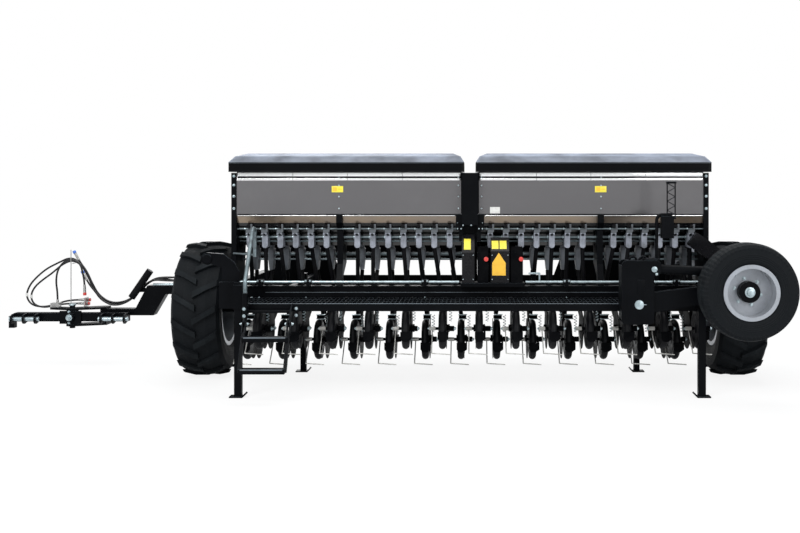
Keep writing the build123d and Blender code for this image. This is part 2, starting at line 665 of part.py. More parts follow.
# ------------------------------------------------------------------ hoppers and lids
def make_hopper(side, name):
    """One sheet-metal hopper: rear and front funnel in one trough, open at the top."""
    outer = [(PANEL_Y + RIM_IN, RIM_Z), (PANEL_Y, PANEL_Z1), (PANEL_Y, PANEL_Z0),
             (FUNNEL_Y0, FUNNEL_Z), (FUNNEL_Y1, FUNNEL_Z), (SADDLE_Y, SADDLE_Z),
             (TROUGH_Y0, TROUGH_Z), (TROUGH_Y1, TROUGH_Z), (FRONT_Y, SLOPE_Z),
             (FRONT_Y, PANEL_Z1), (FRONT_Y - RIM_IN, RIM_Z)]
    x0 = HOPPER_X0 if side > 0 else -HOPPER_X1
    length = HOPPER_X1 - HOPPER_X0
    with BuildPart() as hopper:
        with BuildSketch(side_plane(x0)):
            with BuildLine():
                Polyline(*outer, close=True)
            make_face()
        extrude(amount=length)
        with BuildSketch(side_plane(x0 + HOPPER_WALL)):
            with BuildLine():
                Polyline(*outer, close=True)
            make_face()
            offset(amount=-HOPPER_WALL, kind=Kind.INTERSECTION, mode=Mode.REPLACE)
        extrude(amount=length - 2 * HOPPER_WALL, mode=Mode.SUBTRACT)
        block(x0 + HOPPER_WALL, x0 + length - HOPPER_WALL,
              PANEL_Y + RIM_IN + HOPPER_WALL, FRONT_Y - RIM_IN - HOPPER_WALL,
              RIM_Z - 2 * HOPPER_WALL, RIM_Z + HOPPER_WALL, mode=Mode.SUBTRACT)
    keep(hopper.part, name)


def lid_section(side, z, in_x, in_y):
    """One level rectangle of a lid, in by in_x at the ends and by in_y at the long edges."""
    x0 = LID_X0 + in_x
    x1 = LID_X1 - in_x
    y0 = LID_Y0 + in_y
    y1 = LID_Y1 - in_y
    with BuildSketch(Plane(origin=(side * (x0 + x1) / 2, (y0 + y1) / 2, z))) as level:
        RectangleRounded(x1 - x0, y1 - y0, LID_CORNER)
    return level.sketch


def make_lid(side, name):
    """One gloss lid: an upright band, a rounded top and a flange turned in below."""
    band = LID_Z0 + LID_BAND
    with BuildPart() as lid:
        for t, top in ((0.0, LID_RISE), (LID_T, LID_RISE - LID_T)):
            low = LID_Z0 if t == 0.0 else LID_Z0 - LID_T
            mode = Mode.ADD if t == 0.0 else Mode.SUBTRACT
            add(lid_section(side, low, t, t))
            extrude(amount=band - low, dir=(0, 0, 1), mode=mode)
            add(lid_section(side, band, t, t))
            add(lid_section(side, band + 0.62 * top, LID_END_IN * 0.33 + t, LID_EDGE_IN * 0.33 + t))
            loft(ruled=True, mode=mode)
            add(lid_section(side, band + 0.62 * top, LID_END_IN * 0.33 + t, LID_EDGE_IN * 0.33 + t))
            add(lid_section(side, band + top, LID_END_IN + t, LID_EDGE_IN + t))
            loft(ruled=True, mode=mode)
        add(lid_section(side, LID_Z0, 0.0, 0.0))
        add(lid_section(side, LID_Z0, LID_LIP_END, LID_LIP), mode=Mode.SUBTRACT)
        extrude(amount=LID_T, dir=(0, 0, 1))
    keep(lid.part, name)


def shaft_holes():
    """Holes for the shafts, in the side sketch that is being drawn."""
    for y, z, radius in SHAFTS:
        with Locations((y, z)):
            Circle(radius + FIT, mode=Mode.SUBTRACT)


def make_hopper_posts():
    """Posts that carry the hoppers on the frame, and the rear column between them."""
    post = [(-500, BEAM_Z1 + FIT), (-430, 1000), (-430, 1285), (-500, 1350),
            (-500, PANEL_Z0 - FIT), (PANEL_Y - 2 * FIT, PANEL_Z0 - FIT),
            (FUNNEL_Y0 - FIT, FUNNEL_Z - FIT), (FUNNEL_Y1 + FIT, FUNNEL_Z - FIT),
            (TROUGH_Y0 - FIT - 2, TROUGH_Z - FIT), (-170, TROUGH_Z - FIT), (-170, 1000),
            (-400, 900), (-400, BEAM_Z1 + FIT)]
    end = [(PANEL_Y, SIDE_Z1 + FIT), (PANEL_Y, COLUMN_Z1), (FRONT_Y, COLUMN_Z1),
           (FRONT_Y, 1500), (250, 1300), (250, SIDE_Z1 + FIT), (130, SIDE_Z1 + FIT), (130, 1150),
           (0, 1250), (-100, 1150), (-150, SIDE_Z1 + FIT)]
    with BuildPart() as posts:
        for side in SIDES:
            with BuildSketch(side_plane(side * POST_X - POST_W / 2)):
                with BuildLine():
                    Polyline(*post, close=True)
                make_face()
                shaft_holes()
            extrude(amount=POST_W)
            x0 = HOPPER_X1 + FIT if side > 0 else -HOPPER_X1 - FIT - END_T
            with BuildSketch(side_plane(x0)):
                with BuildLine():
                    Polyline(*end, close=True)
                make_face()
            extrude(amount=END_T)
            block(side * (HOPPER_X1 + FIT), side * (HOPPER_X1 + END_FLANGE),
                  PANEL_Y - POST_FLANGE, PANEL_Y, SIDE_Z1 + FIT, COLUMN_Z1)
        block(-COLUMN_X, COLUMN_X, COLUMN_Y, PANEL_Y - FIT, COLUMN_Z0, COLUMN_Z1)
        block(-COLUMN_X - POST_W, COLUMN_X + POST_W, PANEL_Y - 40, PANEL_Y - 16,
              COLUMN_Z0 + 20, PANEL_Z0)
        stand = HOPPER_X0 - FIT
        block(-stand + 14, stand - 14, -420, -300, BEAM_Z1 + 80, 1700)
        block(-CENTRE_BEAM_W / 2, CENTRE_BEAM_W / 2, -418, -300, BEAM_Z1 + FIT, BEAM_Z1 + 80)
        block(-stand, stand, PANEL_Y - 16, -300, 1480, 1600)
        block(-CENTRE_BEAM_W / 2, CENTRE_BEAM_W / 2, 150, 250, BEAM_Z1 + FIT, 1700)
        block(-stand, stand, 130, 270, 1580, 1640)
        block(-HOPPER_X1 - END_T / 2, HOPPER_X1 + END_T / 2, SKIRT_Y, SKIRT_Y + SKIRT_T,
              SKIRT_Z0, SKIRT_Z1)
    keep(posts.part, "hopper_posts")


# ------------------------------------------------------------------ metering and drive
def unit_places(inset):
    """X of every metering unit of one row, which stands inset nearer the middle."""
    return [side * (unit_place(n) - inset) for side in SIDES for n in range(ROWS // 2)]


def unit_shape(rear):
    """One metering unit in its own place: housing, neck and, on the rear row, its gate slide."""
    y = REAR_UNIT_Y if rear else FRONT_UNIT_Y
    z0 = REAR_UNIT_Z0 if rear else FRONT_UNIT_Z0
    z1 = REAR_UNIT_Z1 if rear else FRONT_UNIT_Z1
    body_top = z1 - NECK_H
    half = UNIT_W / 2
    with BuildPart() as unit:
        with BuildSketch(back_plane(y + UNIT_DEPTH)):
            if rear:
                with Locations((0, (z0 + body_top) / 2)):
                    RectangleRounded(UNIT_W, body_top - z0, UNIT_CORNER)
            else:
                with BuildLine():
                    Polyline((-half, body_top), (-half, z0 + 90), (-half * 0.55, z0),
                             (half * 0.55, z0), (half, z0 + 90), (half, body_top), close=True)
                make_face()
        extrude(amount=UNIT_DEPTH)
        block(-NECK_X, NECK_X, y + 25, y + UNIT_DEPTH - 15, body_top - 10, z1 - FIT)
        if rear:
            for side in SIDES:
                block(side * (NECK_X + 4), side * NECK_X, GATE_Y, y + 40, body_top - 10, z1 - 4)
            with BuildSketch(back_plane(GATE_Y + GATE_T)):
                with BuildLine():
                    Polyline((-NECK_X - 8, body_top - 10), (-NECK_X - 8, z1 + 8), (NECK_X - 2, z1 + 8),
                             (NECK_X - 2, z1 + GATE_UP), (NECK_X + 14, z1 + GATE_UP),
                             (NECK_X + 14, z1 - 10), (NECK_X, z1 - 22), (NECK_X, body_top - 10),
                             (0, body_top + 6), close=True)
                make_face()
            extrude(amount=GATE_T)
        with BuildSketch(side_plane(-UNIT_W)):
            for shaft_y, shaft_z, radius in SHAFTS:
                with Locations((shaft_y, shaft_z)):
                    Circle(radius + FIT)
        extrude(amount=UNIT_W * 2, mode=Mode.SUBTRACT)
    return unit.part


def make_units(name, rear, inset):
    """One row of metering units, set inset nearer the middle."""
    piece = unit_shape(rear)
    with BuildPart() as units:
        with Locations(*[(x, 0, 0) for x in unit_places(inset)]):
            add(piece)
    keep(units.part, name)


def make_shafts():
    """Drive and setting shafts through the metering units, one set for each hopper."""
    with BuildPart() as shafts:
        for side in SIDES:
            for y, z, radius in SHAFTS:
                bar((side * (HOPPER_X0 - 14 + FIT), y, z), (side * HOPPER_X1, y, z), radius)
    keep(shafts.part, "metering_shafts")


def tube(start, end):
    """A seed tube whose cut ends just clear the level faces above and below it."""
    line = Vector(*end) - Vector(*start)
    dip = TUBE_R * sin(radians(line.get_angle(Vector(0, 0, -1)))) + FIT
    low = (end[0], end[1], end[2] + dip)
    high = (start[0], start[1], start[2] - dip)
    bar(high, low, TUBE_R)


def make_seed_tubes():
    """Two tubes to every opener, one from each row of metering units."""
    with BuildPart() as tubes:
        for i, x in enumerate(ROW_X):
            row = REAR_ROW if i % 2 == REAR_ROW.first else FRONT_ROW
            side = -1 if x < 0 else 1
            n = int((abs(x) - ROW_PITCH / 2) / ROW_PITCH + 0.5)
            head_z = row.disc_z + HEAD_UP
            unit_x = side * unit_place(n)
            front_x = side * (unit_place(n) - FRONT_UNIT_IN)
            tube((unit_x, REAR_UNIT_Y + 35, REAR_UNIT_Z0), (x, row.tube_y, head_z))
            tube((front_x, FRONT_UNIT_Y + 50, FRONT_UNIT_Z0), (x, row.disc_y - 2, head_z))
    keep(tubes.part, "seed_tubes")


def make_drive_boxes(name, boxes):
    """Drive housings on the shelf, each with a top that slopes to the rear."""
    with BuildPart() as housings:
        for box in boxes:
            with BuildSketch(side_plane(box.x0)):
                with BuildLine():
                    Polyline((box.y, SHELF_Z + FIT), (box.y, box.rear_z), (DRIVE_FRONT_Y - 30, box.top_z),
                             (DRIVE_FRONT_Y, box.top_z), (DRIVE_FRONT_Y, SHELF_Z + FIT), close=True)
                make_face()
            extrude(amount=box.x1 - box.x0)
    keep(housings.part, name)


# ------------------------------------------------------------------ openers
def opener_arm(row):
    """Arm of one opener, from its clamp on the opener beam to the ring on its disc hub."""
    clamp_y = SHAFT_BEAM_Y - SHAFT_BEAM / 2 - FIT
    with BuildPart() as arm:
        with BuildSketch(side_plane(-ARM_T / 2)):
            with Locations((clamp_y - 40, SHAFT_BEAM_Z)):
                Circle(28)
            with Locations((row.disc_y, row.disc_z)):
                Circle(ARM_RING_R)
            make_hull()
            with Locations((row.disc_y, row.disc_z)):
                Circle(DISC_HUB_R + FIT, mode=Mode.SUBTRACT)
        extrude(amount=ARM_T)
        block(-30, 30, clamp_y - 30, clamp_y, SHAFT_BEAM_Z - 40, SHAFT_BEAM_Z + 40)
        block(-ARM_T / 2, ARM_T / 2, clamp_y - 60, clamp_y - 25, SHAFT_BEAM_Z - 25, SHAFT_BEAM_Z + 25)
    return arm.part


def seed_boot(row):
    """Boot between the discs, with the head that both seed tubes end on."""
    head_z = row.disc_z + HEAD_UP
    front = row.disc_y - ARM_RING_R - FIT
    with BuildPart() as boot:
        block(-8, 8, front - 34, front, row.disc_z - 60, head_z - HEAD_T)
        block(-20, 20, row.tube_y - TUBE_R - 6, row.disc_y + TUBE_R, head_z - HEAD_T, head_z)
    return boot.part


def press_carrier(row):
    """Disc hub, the plate that joins it to the press wheel's axle, and the wheel's scraper."""
    plate_in = SIDE_PLATE_X - SIDE_PLATE_T / 2
    plate_out = SIDE_PLATE_X + SIDE_PLATE_T / 2
    scraper_y = row.wheel_y - PRESS_R - SCRAPER_GAP
    with BuildPart() as carrier:
        bar((-DISC_X - 20, row.disc_y, row.disc_z), (plate_out, row.disc_y, row.disc_z), DISC_HUB_R)
        with BuildSketch(side_plane(plate_in)):
            with Locations((row.disc_y, row.disc_z)):
                Circle(34)
            with Locations((row.wheel_y, row.wheel_z)):
                Circle(26)
            make_hull()
        extrude(amount=SIDE_PLATE_T)
        block(plate_in, plate_out, scraper_y - SCRAPER_T, row.wheel_y,
              row.wheel_z - 30, row.wheel_z - 5)
        with BuildSketch(back_plane(scraper_y)):
            with BuildLine():
                Polyline((-36, row.wheel_z - 5), (-36, row.wheel_z - 62), (-18, row.wheel_z - 85),
                         (18, row.wheel_z - 85), (plate_out, row.wheel_z - 62),
                         (plate_out, row.wheel_z - 5), close=True)
            make_face()
        extrude(amount=SCRAPER_T)
        bar((TINE_X - HOLDER_L / 2, row.wheel_y, row.wheel_z), (plate_out + CAP_L, row.wheel_y, row.wheel_z),
            PRESS_AXLE_R)
        bar((plate_out, row.wheel_y, row.wheel_z), (plate_out + CAP_L, row.wheel_y, row.wheel_z),
            CAP_R)
    return carrier.part


def disc_pair(row):
    """Two seed discs that run closer together at the front."""
    with BuildPart() as pair:
        for side in SIDES:
            with Locations(Location((side * DISC_X, row.disc_y, row.disc_z), (0, 90, side * DISC_TILT))):
                Cylinder(DISC_R, DISC_T)
                Cylinder(DISC_HUB_R + 2 * FIT, DISC_T * 2, mode=Mode.SUBTRACT)
    return pair.part


def press_wheel(row):
    """Narrow press wheel with a rounded rubber tread."""
    half = PRESS_W / 2
    with BuildPart() as wheel:
        with BuildSketch(wheel_plane((0, row.wheel_y, row.wheel_z), (1, 0, 0))):
            with BuildLine():
                Polyline((-half, PRESS_R - 22), (-half, 40), (-half - 4, 40),
                         (-half - 4, PRESS_AXLE_R + FIT), (half + 4, PRESS_AXLE_R + FIT),
                         (half + 4, 40), (half, 40), (half, PRESS_R - 22))
                ThreePointArc((half, PRESS_R - 22), (0, PRESS_R), (-half, PRESS_R - 22))
            make_face()
        revolve(axis=Axis((0, row.wheel_y, row.wheel_z), (1, 0, 0)))
    return wheel.part


def harrow_tine(row):
    """Covering tine: its holder on the press wheel's axle, and the rod bent sideways below."""
    top = (TINE_X, row.wheel_y - 8, row.wheel_z - HOLDER_R + 3)
    low_y = row.wheel_y - PRESS_R - TINE_BACK
    low_z = row.wheel_z - TINE_DROP
    corner = (TINE_X, low_y, low_z)
    with BuildPart() as tine:
        bar((TINE_X - HOLDER_L / 2, row.wheel_y, row.wheel_z),
            (TINE_X + HOLDER_L / 2, row.wheel_y, row.wheel_z), HOLDER_R)
        bar(top, corner, TINE_R)
        with Locations(corner):
            Sphere(TINE_R)
        bar(corner, (TINE_X + TINE_SWEEP, low_y - 12, low_z - 8), TINE_R)
        bar((TINE_X - HOLDER_L, row.wheel_y, row.wheel_z),
            (TINE_X + HOLDER_L, row.wheel_y, row.wheel_z), PRESS_AXLE_R + FIT, mode=Mode.SUBTRACT)
    return tine.part


def make_openers():
    """All rows of openers, one node for each kind of piece."""
    kinds = {"opener_arms": opener_arm, "seed_boots": seed_boot, "opener_discs": disc_pair,
             "press_carriers": press_carrier, "press_wheels": press_wheel,
             "harrow_tines": harrow_tine}
    for name, shape in kinds.items():
        with BuildPart() as gang:
            for row in (REAR_ROW, FRONT_ROW):
                piece = shape(row)
                with Locations(*[(x, 0, 0) for x in ROW_X[row.first::2]]):
                    add(piece)
        keep(gang.part, name)


# ------------------------------------------------------------------ wheels and legs
def tyre_outline(size, tread_r):
    """Section of a tyre, as points of axle distance and radius, from bead over the crown."""
    half = size.tyre_w / 2
    wall = tread_r - size.bead_r
    side = [(size.bead_half - FIT, size.bead_r), (size.bead_half - FIT, size.flange_r),
            (half * 0.93, size.bead_r + wall * 0.22), (half, size.bead_r + wall * 0.5),
            (half * 0.985, size.bead_r + wall * 0.78), (half * 0.87, tread_r - size.crown),
            (half * 0.45, tread_r - size.crown * 0.2)]
    return side + [(-x, r) for x, r in reversed(side)]


def make_lugs(size, plane, axle):
    """Chevron lugs of a traction tyre, pointing the same way on both sides of the machine."""
    step = 360 / size.lugs
    outer = size.tyre_d / 2
    mid = size.tyre_w / 2
    low = outer - size.lug_h
    rise = LUG_RISE if axle.direction.X > 0 else -LUG_RISE
    with BuildPart() as lugs:
        for side in SIDES:
            for n in range(size.lugs):
                turn = step * (n + (0.25 if side > 0 else -0.25))
                face = plane.rotated((-turn, 0, 0)).offset(0)
                with BuildSketch(Plane(origin=face.origin + face.y_dir * (low - size.lug_h),
                                       x_dir=face.x_dir, z_dir=face.y_dir)):
                    with BuildLine():
                        Polyline((-side * 12, -LUG_HALF), (side * mid * 0.45, rise * 0.45 - LUG_HALF),
                                 (side * (mid + 5), rise - LUG_HALF), (side * (mid + 5), rise + LUG_HALF),
                                 (side * mid * 0.4, rise * 0.45 + LUG_HALF), (-side * 12, LUG_HALF),
                                 close=True)
                    make_face()
                extrude(amount=size.lug_h * 3)
        with BuildSketch(plane):
            with BuildLine():
                Polyline(*tyre_outline(size, outer), close=True)
            make_face()
        revolve(axis=axle, mode=Mode.INTERSECT)
    return lugs.part


def make_wheel(size, centre, outward, names):
    """One wheel: the tyre, and the rim with its disc and its hub bored for the axle."""
    plane = wheel_plane(centre, outward)
    axle = Axis(centre, outward)
    tread_r = size.tyre_d / 2 - size.lug_h
    lugs = make_lugs(size, plane, axle) if size.lugs else None
    with BuildPart() as tyre:
        with BuildSketch(plane):
            with BuildLine():
                Polyline(*tyre_outline(size, tread_r), close=True)
            make_face()
        revolve(axis=axle)
        if lugs:
            add(lugs)
    keep(tyre.part, names[0])
    seat = size.bead_r - FIT
    with BuildPart() as rim:
        with BuildSketch(plane):
            with Locations((0, seat - RIM_T / 2)):
                Rectangle(2 * size.bead_half, RIM_T)
            for side in SIDES:
                flange_h = size.flange_r - FIT - seat + RIM_T
                with Locations((side * (size.bead_half + RIM_T / 2), seat - RIM_T + flange_h / 2)):
                    Rectangle(RIM_T, flange_h)
            with Locations((size.disc_x, (seat + size.hub_r) / 2)):
                Rectangle(RIM_T, seat - size.hub_r)
            with Locations(((size.hub_out - size.hub_in) / 2, (size.axle_r + FIT + size.hub_r) / 2)):
                Rectangle(size.hub_out + size.hub_in, size.hub_r - size.axle_r - FIT)
        revolve(axis=axle)
    keep(rim.part, names[1])


def foot_outline(x):
    """Section of a foot plate below a leg at x, with its inner end bent up."""
    inward = -1 if x > 0 else 1
    half = FOOT_X / 2
    flat = half - FOOT_BEND
    top = FOOT_BEND + FOOT_T
    points = [(-half, 0), (flat, 0), (half, FOOT_BEND), (half - 8, top), (flat - 4, FOOT_T),
              (-half, FOOT_T)]
    return [(x + inward * across, z) for across, z in points]


def make_legs():
    """Four parking legs, each a square tube on a foot plate."""
    for place in LEGS:
        with BuildPart() as leg:
            half = place.size / 2
            block(place.x - half, place.x + half, place.y - half, place.y + half, FOOT_T, place.top)
            with BuildSketch(back_plane(place.y + FOOT_Y / 2)):
                with BuildLine():
                    Polyline(*foot_outline(place.x), close=True)
                make_face()
            extrude(amount=FOOT_Y)
        keep(leg.part, place.name)


# ------------------------------------------------------------------ transport gear
def span(carrier, near, far):
    """The two Y of a stretch that lies near to far out from a carrier's back."""
    return carrier.back_y + carrier.out * near, carrier.back_y + carrier.out * far


def make_carriers():
    """Box carriers for the transport arms: two side plates joined at the back and the top."""
    with BuildPart() as carriers:
        for carrier in CARRIERS:
            mid_x = (CARRIER_X0 + CARRIER_X1) / 2
            for near in (0.0, CARRIER_DEPTH - CARRIER_T):
                y0, y1 = span(carrier, near, near + CARRIER_T)
                with BuildSketch(back_plane(max(y0, y1))):
                    with Locations(((CARRIER_X0 + CARRIER_WAIST_X) / 2, (CARRIER_Z0 + CARRIER_Z1) / 2)):
                        RectangleRounded(CARRIER_WAIST_X - CARRIER_X0, CARRIER_Z1 - CARRIER_Z0,
                                         CARRIER_CORNER)
                    with Locations((mid_x, (CARRIER_LOBE_Z + CARRIER_Z1) / 2)):
                        RectangleRounded(CARRIER_X1 - CARRIER_X0, CARRIER_Z1 - CARRIER_LOBE_Z,
                                         CARRIER_CORNER)
                    with Locations((PIVOT_X, PIVOT_Z)):
                        Circle(PIVOT_R + FIT, mode=Mode.SUBTRACT)
                    with Locations((PIN_X, PIN_Z)):
                        Circle(PIN_R + FIT, mode=Mode.SUBTRACT)
                extrude(amount=CARRIER_T)
            y0, y1 = span(carrier, 0, CARRIER_DEPTH)
            block(CARRIER_X0, CARRIER_X0 + CARRIER_T, y0, y1, CARRIER_Z0 + CARRIER_CORNER,
                  CARRIER_Z1 - CARRIER_CORNER)
            block(CARRIER_X0 + CARRIER_CORNER, CARRIER_X1 - CARRIER_CORNER * 2, y0, y1,
                  CARRIER_Z1 - CARRIER_T, CARRIER_Z1)
            block(CARRIER_X0 + CARRIER_CORNER, CARRIER_X0 + CARRIER_CORNER * 2.5, y0, y1,
                  CARRIER_Z0, CARRIER_Z0 + CARRIER_T)
    keep(carriers.part, "transport_carriers")


def make_carrier_pins():
    """Zinc pins through the carriers: the arm's pivot and the cylinder's pin."""
    with BuildPart() as pins:
        for carrier in CARRIERS:
            for x, z, radius in ((PIVOT_X, PIVOT_Z, PIVOT_R), (PIN_X, PIN_Z, PIN_R)):
                y0, y1 = span(carrier, FIT, CARRIER_DEPTH + 8)
                bar((x, y0, z), (x, y1, z), radius)
    keep(pins.part, "carrier_pins")


def make_transport_arm(carrier):
    """Tapered arm with its pivot boss, lugs for the rod eye and the wheel's stub axle."""
    y0, y1 = span(carrier, ARM_IN, ARM_IN + ARM_W)
    with BuildPart() as arm:
        with BuildSketch(back_plane(max(y0, y1))):
            with Locations((PIVOT_X, PIVOT_Z)):
                Circle(ARM_R0)
            with Locations((ROAD_X, ROAD_Z)):
                Circle(ARM_R1)
            make_hull()
        extrude(amount=ARM_W)
        for near in (ARM_IN, ARM_IN + ARM_W - LUG_T):
            l0, l1 = span(carrier, near, near + LUG_T)
            with BuildSketch(back_plane(max(l0, l1))):
                with Locations((EYE_X, EYE_Z)):
                    Circle(EYE_R)
                with Locations((EYE_X, EYE_Z - 165)):
                    Circle(LUG_ROOT_R)
                make_hull()
            extrude(amount=LUG_T)
        b0, b1 = span(carrier, CARRIER_T + 6, CARRIER_DEPTH - CARRIER_T - 6)
        bar((PIVOT_X, b0, PIVOT_Z), (PIVOT_X, b1, PIVOT_Z), BOSS_R)
        a0, a1 = span(carrier, ARM_IN + ARM_W, ROAD_OUT + AXLE_TIP - 20)
        bar((ROAD_X, a0, ROAD_Z), (ROAD_X, a1, ROAD_Z), ROAD.axle_r)
        bar((PIVOT_X, b0, PIVOT_Z), (PIVOT_X, b1, PIVOT_Z), PIVOT_R + FIT, mode=Mode.SUBTRACT)
    keep(arm.part, f"transport_arm_{carrier.name}")


def make_cylinder(carrier):
    """Lift cylinder: the barrel on its pin, and the rod with its eye between the arm's lugs."""
    y = carrier.back_y + carrier.out * CYLINDER_IN
    pin = Vector(PIN_X, y, PIN_Z)
    eye_y = carrier.back_y + carrier.out * (ARM_IN + ARM_W / 2)
    reach = Vector(EYE_X, y, EYE_Z) - pin
    along = reach.normalized()
    mouth = reach.length - BARREL_SHORT
    with BuildPart() as barrel:
        bar(pin + along * PIN_R, pin + along * mouth, BARREL_R)
        bar((PIN_X, y - BARREL_EYE_W / 2, PIN_Z), (PIN_X, y + BARREL_EYE_W / 2, PIN_Z), BARREL_R)
        bar(pin + along * (PIN_R + 35), pin + along * (mouth + 1), ROD_R + FIT,
            mode=Mode.SUBTRACT)
        bar((PIN_X, y - BARREL_EYE_W, PIN_Z), (PIN_X, y + BARREL_EYE_W, PIN_Z), PIN_R + FIT,
            mode=Mode.SUBTRACT)
    keep(barrel.part, f"cylinder_barrel_{carrier.name}")
    with BuildPart() as rod:
        bar(pin + along * (PIN_R + 60), pin + along * (reach.length - EYE_R / 2), ROD_R)
        bar((EYE_X, eye_y - EYE_W / 2, EYE_Z), (EYE_X, eye_y + EYE_W / 2, EYE_Z), EYE_R - 4)
        bar((EYE_X, eye_y - EYE_W, EYE_Z), (EYE_X, eye_y + EYE_W, EYE_Z), EYE_R * 0.4,
            mode=Mode.SUBTRACT)
    keep(rod.part, f"cylinder_rod_{carrier.name}")


# ------------------------------------------------------------------ drawbar and hitch
def make_drawbar():
    """Transport drawbar: beam stub, gooseneck, pole and the fork that holds the hitch bar."""
    y0 = FRONT_BEAM_Y - FRONT_BEAM_W / 2
    y1 = FRONT_BEAM_Y + FRONT_BEAM_W / 2
    with BuildPart() as drawbar:
        with BuildSketch(back_plane(y1)):
            with BuildLine():
                Polyline((FLANGE_X - FIT, FRONT_BEAM_Z1), (NECK_TOP_X0, FRONT_BEAM_Z1),
                         (NECK_X0, POLE_Z1), (POLE_X, POLE_Z1), (POLE_X, POLE_Z0),
                         (NECK_X1, POLE_Z0), (NECK_TOP_X1, FRONT_BEAM_Z0),
                         (FLANGE_X - FIT, FRONT_BEAM_Z0), close=True)
            make_face()
        extrude(amount=FRONT_BEAM_W)
        low = HITCH_Z - FORK_GAP / 2
        high = HITCH_Z + FORK_GAP / 2
        block(POLE_X - 10, POLE_X + 50, HITCH_Y + 55, y1, low - FORK_T, high + FORK_T)
        for z0 in (low - FORK_T, high):
            with BuildSketch(Plane.XY.offset(z0)):
                with Locations((HITCH_X, HITCH_Y)):
                    Circle(FORK_PIN_R + 30)
                with Locations((POLE_X + 20, FRONT_BEAM_Y)):
                    Rectangle(60, FRONT_BEAM_W)
                make_hull()
            extrude(amount=FORK_T)
        bar((HITCH_X, HITCH_Y, low - FORK_T - 20), (HITCH_X, HITCH_Y, high + FORK_T + 20), FORK_PIN_R)
        with BuildSketch(Plane.XY.offset(high)):
            with Locations((HITCH_X, HITCH_Y)):
                Circle(FORK_PIN_R + 30)
            with Locations(((VALVE_X0 + VALVE_X1) / 2, (VALVE_Y0 + VALVE_Y1) / 2)):
                Rectangle(VALVE_X1 - VALVE_X0, VALVE_Y1 - VALVE_Y0)
            make_hull()
        extrude(amount=FORK_T)
        block(NECK_X0 + 16, NECK_TOP_X0 + 43, y0, y0 + 8, CLIP_Z, CLIP_Z + 40)
    keep(drawbar.part, "drawbar")


def make_hitch_bar():
    """Bar with two triple lugs for a tractor's lower links, turning on the drawbar's pin."""
    half = HITCH_BAR / 2
    y_lug = HITCH_Y - half - LINK_PIN_OUT
    with BuildPart() as hitch:
        block(HITCH_X - LINK_HALF - LINK_PITCH - 8, HITCH_X + LINK_HALF + LINK_PITCH + 8,
              HITCH_Y - half, HITCH_Y + half, HITCH_Z - half, HITCH_Z + half)
        bar((HITCH_X, HITCH_Y, HITCH_Z - HITCH_HUB_H / 2), (HITCH_X, HITCH_Y, HITCH_Z + HITCH_HUB_H / 2),
            FORK_PIN_R + 30)
        block(HITCH_X - 100, HITCH_X + 100, HITCH_Y - half - 16, HITCH_Y - half,
              HITCH_Z - HITCH_HUB_H / 2, HITCH_Z + HITCH_HUB_H / 2)
        bar((HITCH_X, HITCH_Y - half - 46, HITCH_Z), (HITCH_X, HITCH_Y - half, HITCH_Z), 42)
        block(MACHINE_LEFT, HITCH_X - LINK_HALF - LINK_PITCH - 8,
              HITCH_Y - half, HITCH_Y + half - 20, HITCH_Z - 100, HITCH_Z + 10)
        for link in SIDES:
            for step in (-1, 0, 1):
                x = HITCH_X + link * LINK_HALF + step * LINK_PITCH
                with BuildSketch(side_plane(x - LINK_PLATE / 2)):
                    with Locations((y_lug, HITCH_Z - 10)):
                        Circle(LINK_PIN_R + 26)
                    with Locations((HITCH_Y - half + 5, HITCH_Z)):
                        Rectangle(10, HITCH_BAR)
                    make_hull()
                extrude(amount=LINK_PLATE)
        bar((HITCH_X, HITCH_Y, HITCH_Z - 90), (HITCH_X, HITCH_Y, HITCH_Z + 90), FORK_PIN_R + FIT,
            mode=Mode.SUBTRACT)
        for link in SIDES:
            middle = HITCH_X + link * LINK_HALF
            bar((middle - 200, y_lug, HITCH_Z - 10), (middle + 200, y_lug, HITCH_Z - 10),
                LINK_PIN_R + FIT, mode=Mode.SUBTRACT)
    keep(hitch.part, "hitch_bar")
    with BuildPart() as pins:
        for link in SIDES:
            middle = HITCH_X + link * LINK_HALF
            reach = LINK_PITCH + 22
            bar((middle - reach, y_lug, HITCH_Z - 10), (middle + reach, y_lug, HITCH_Z - 10), LINK_PIN_R)
    keep(pins.part, "link_pins")


def make_document_tube():
    """Round document canister that leans against the gooseneck."""
    y = FRONT_BEAM_Y - FRONT_BEAM_W / 2 - CANISTER_R - FIT
    with BuildPart() as canister:
        bar((NECK_X0 - 24, y, POLE_Z1 + 109), (NECK_TOP_X0 + 38, y, FRONT_BEAM_Z1 + 146), CANISTER_R)
    keep(canister.part, "document_tube")


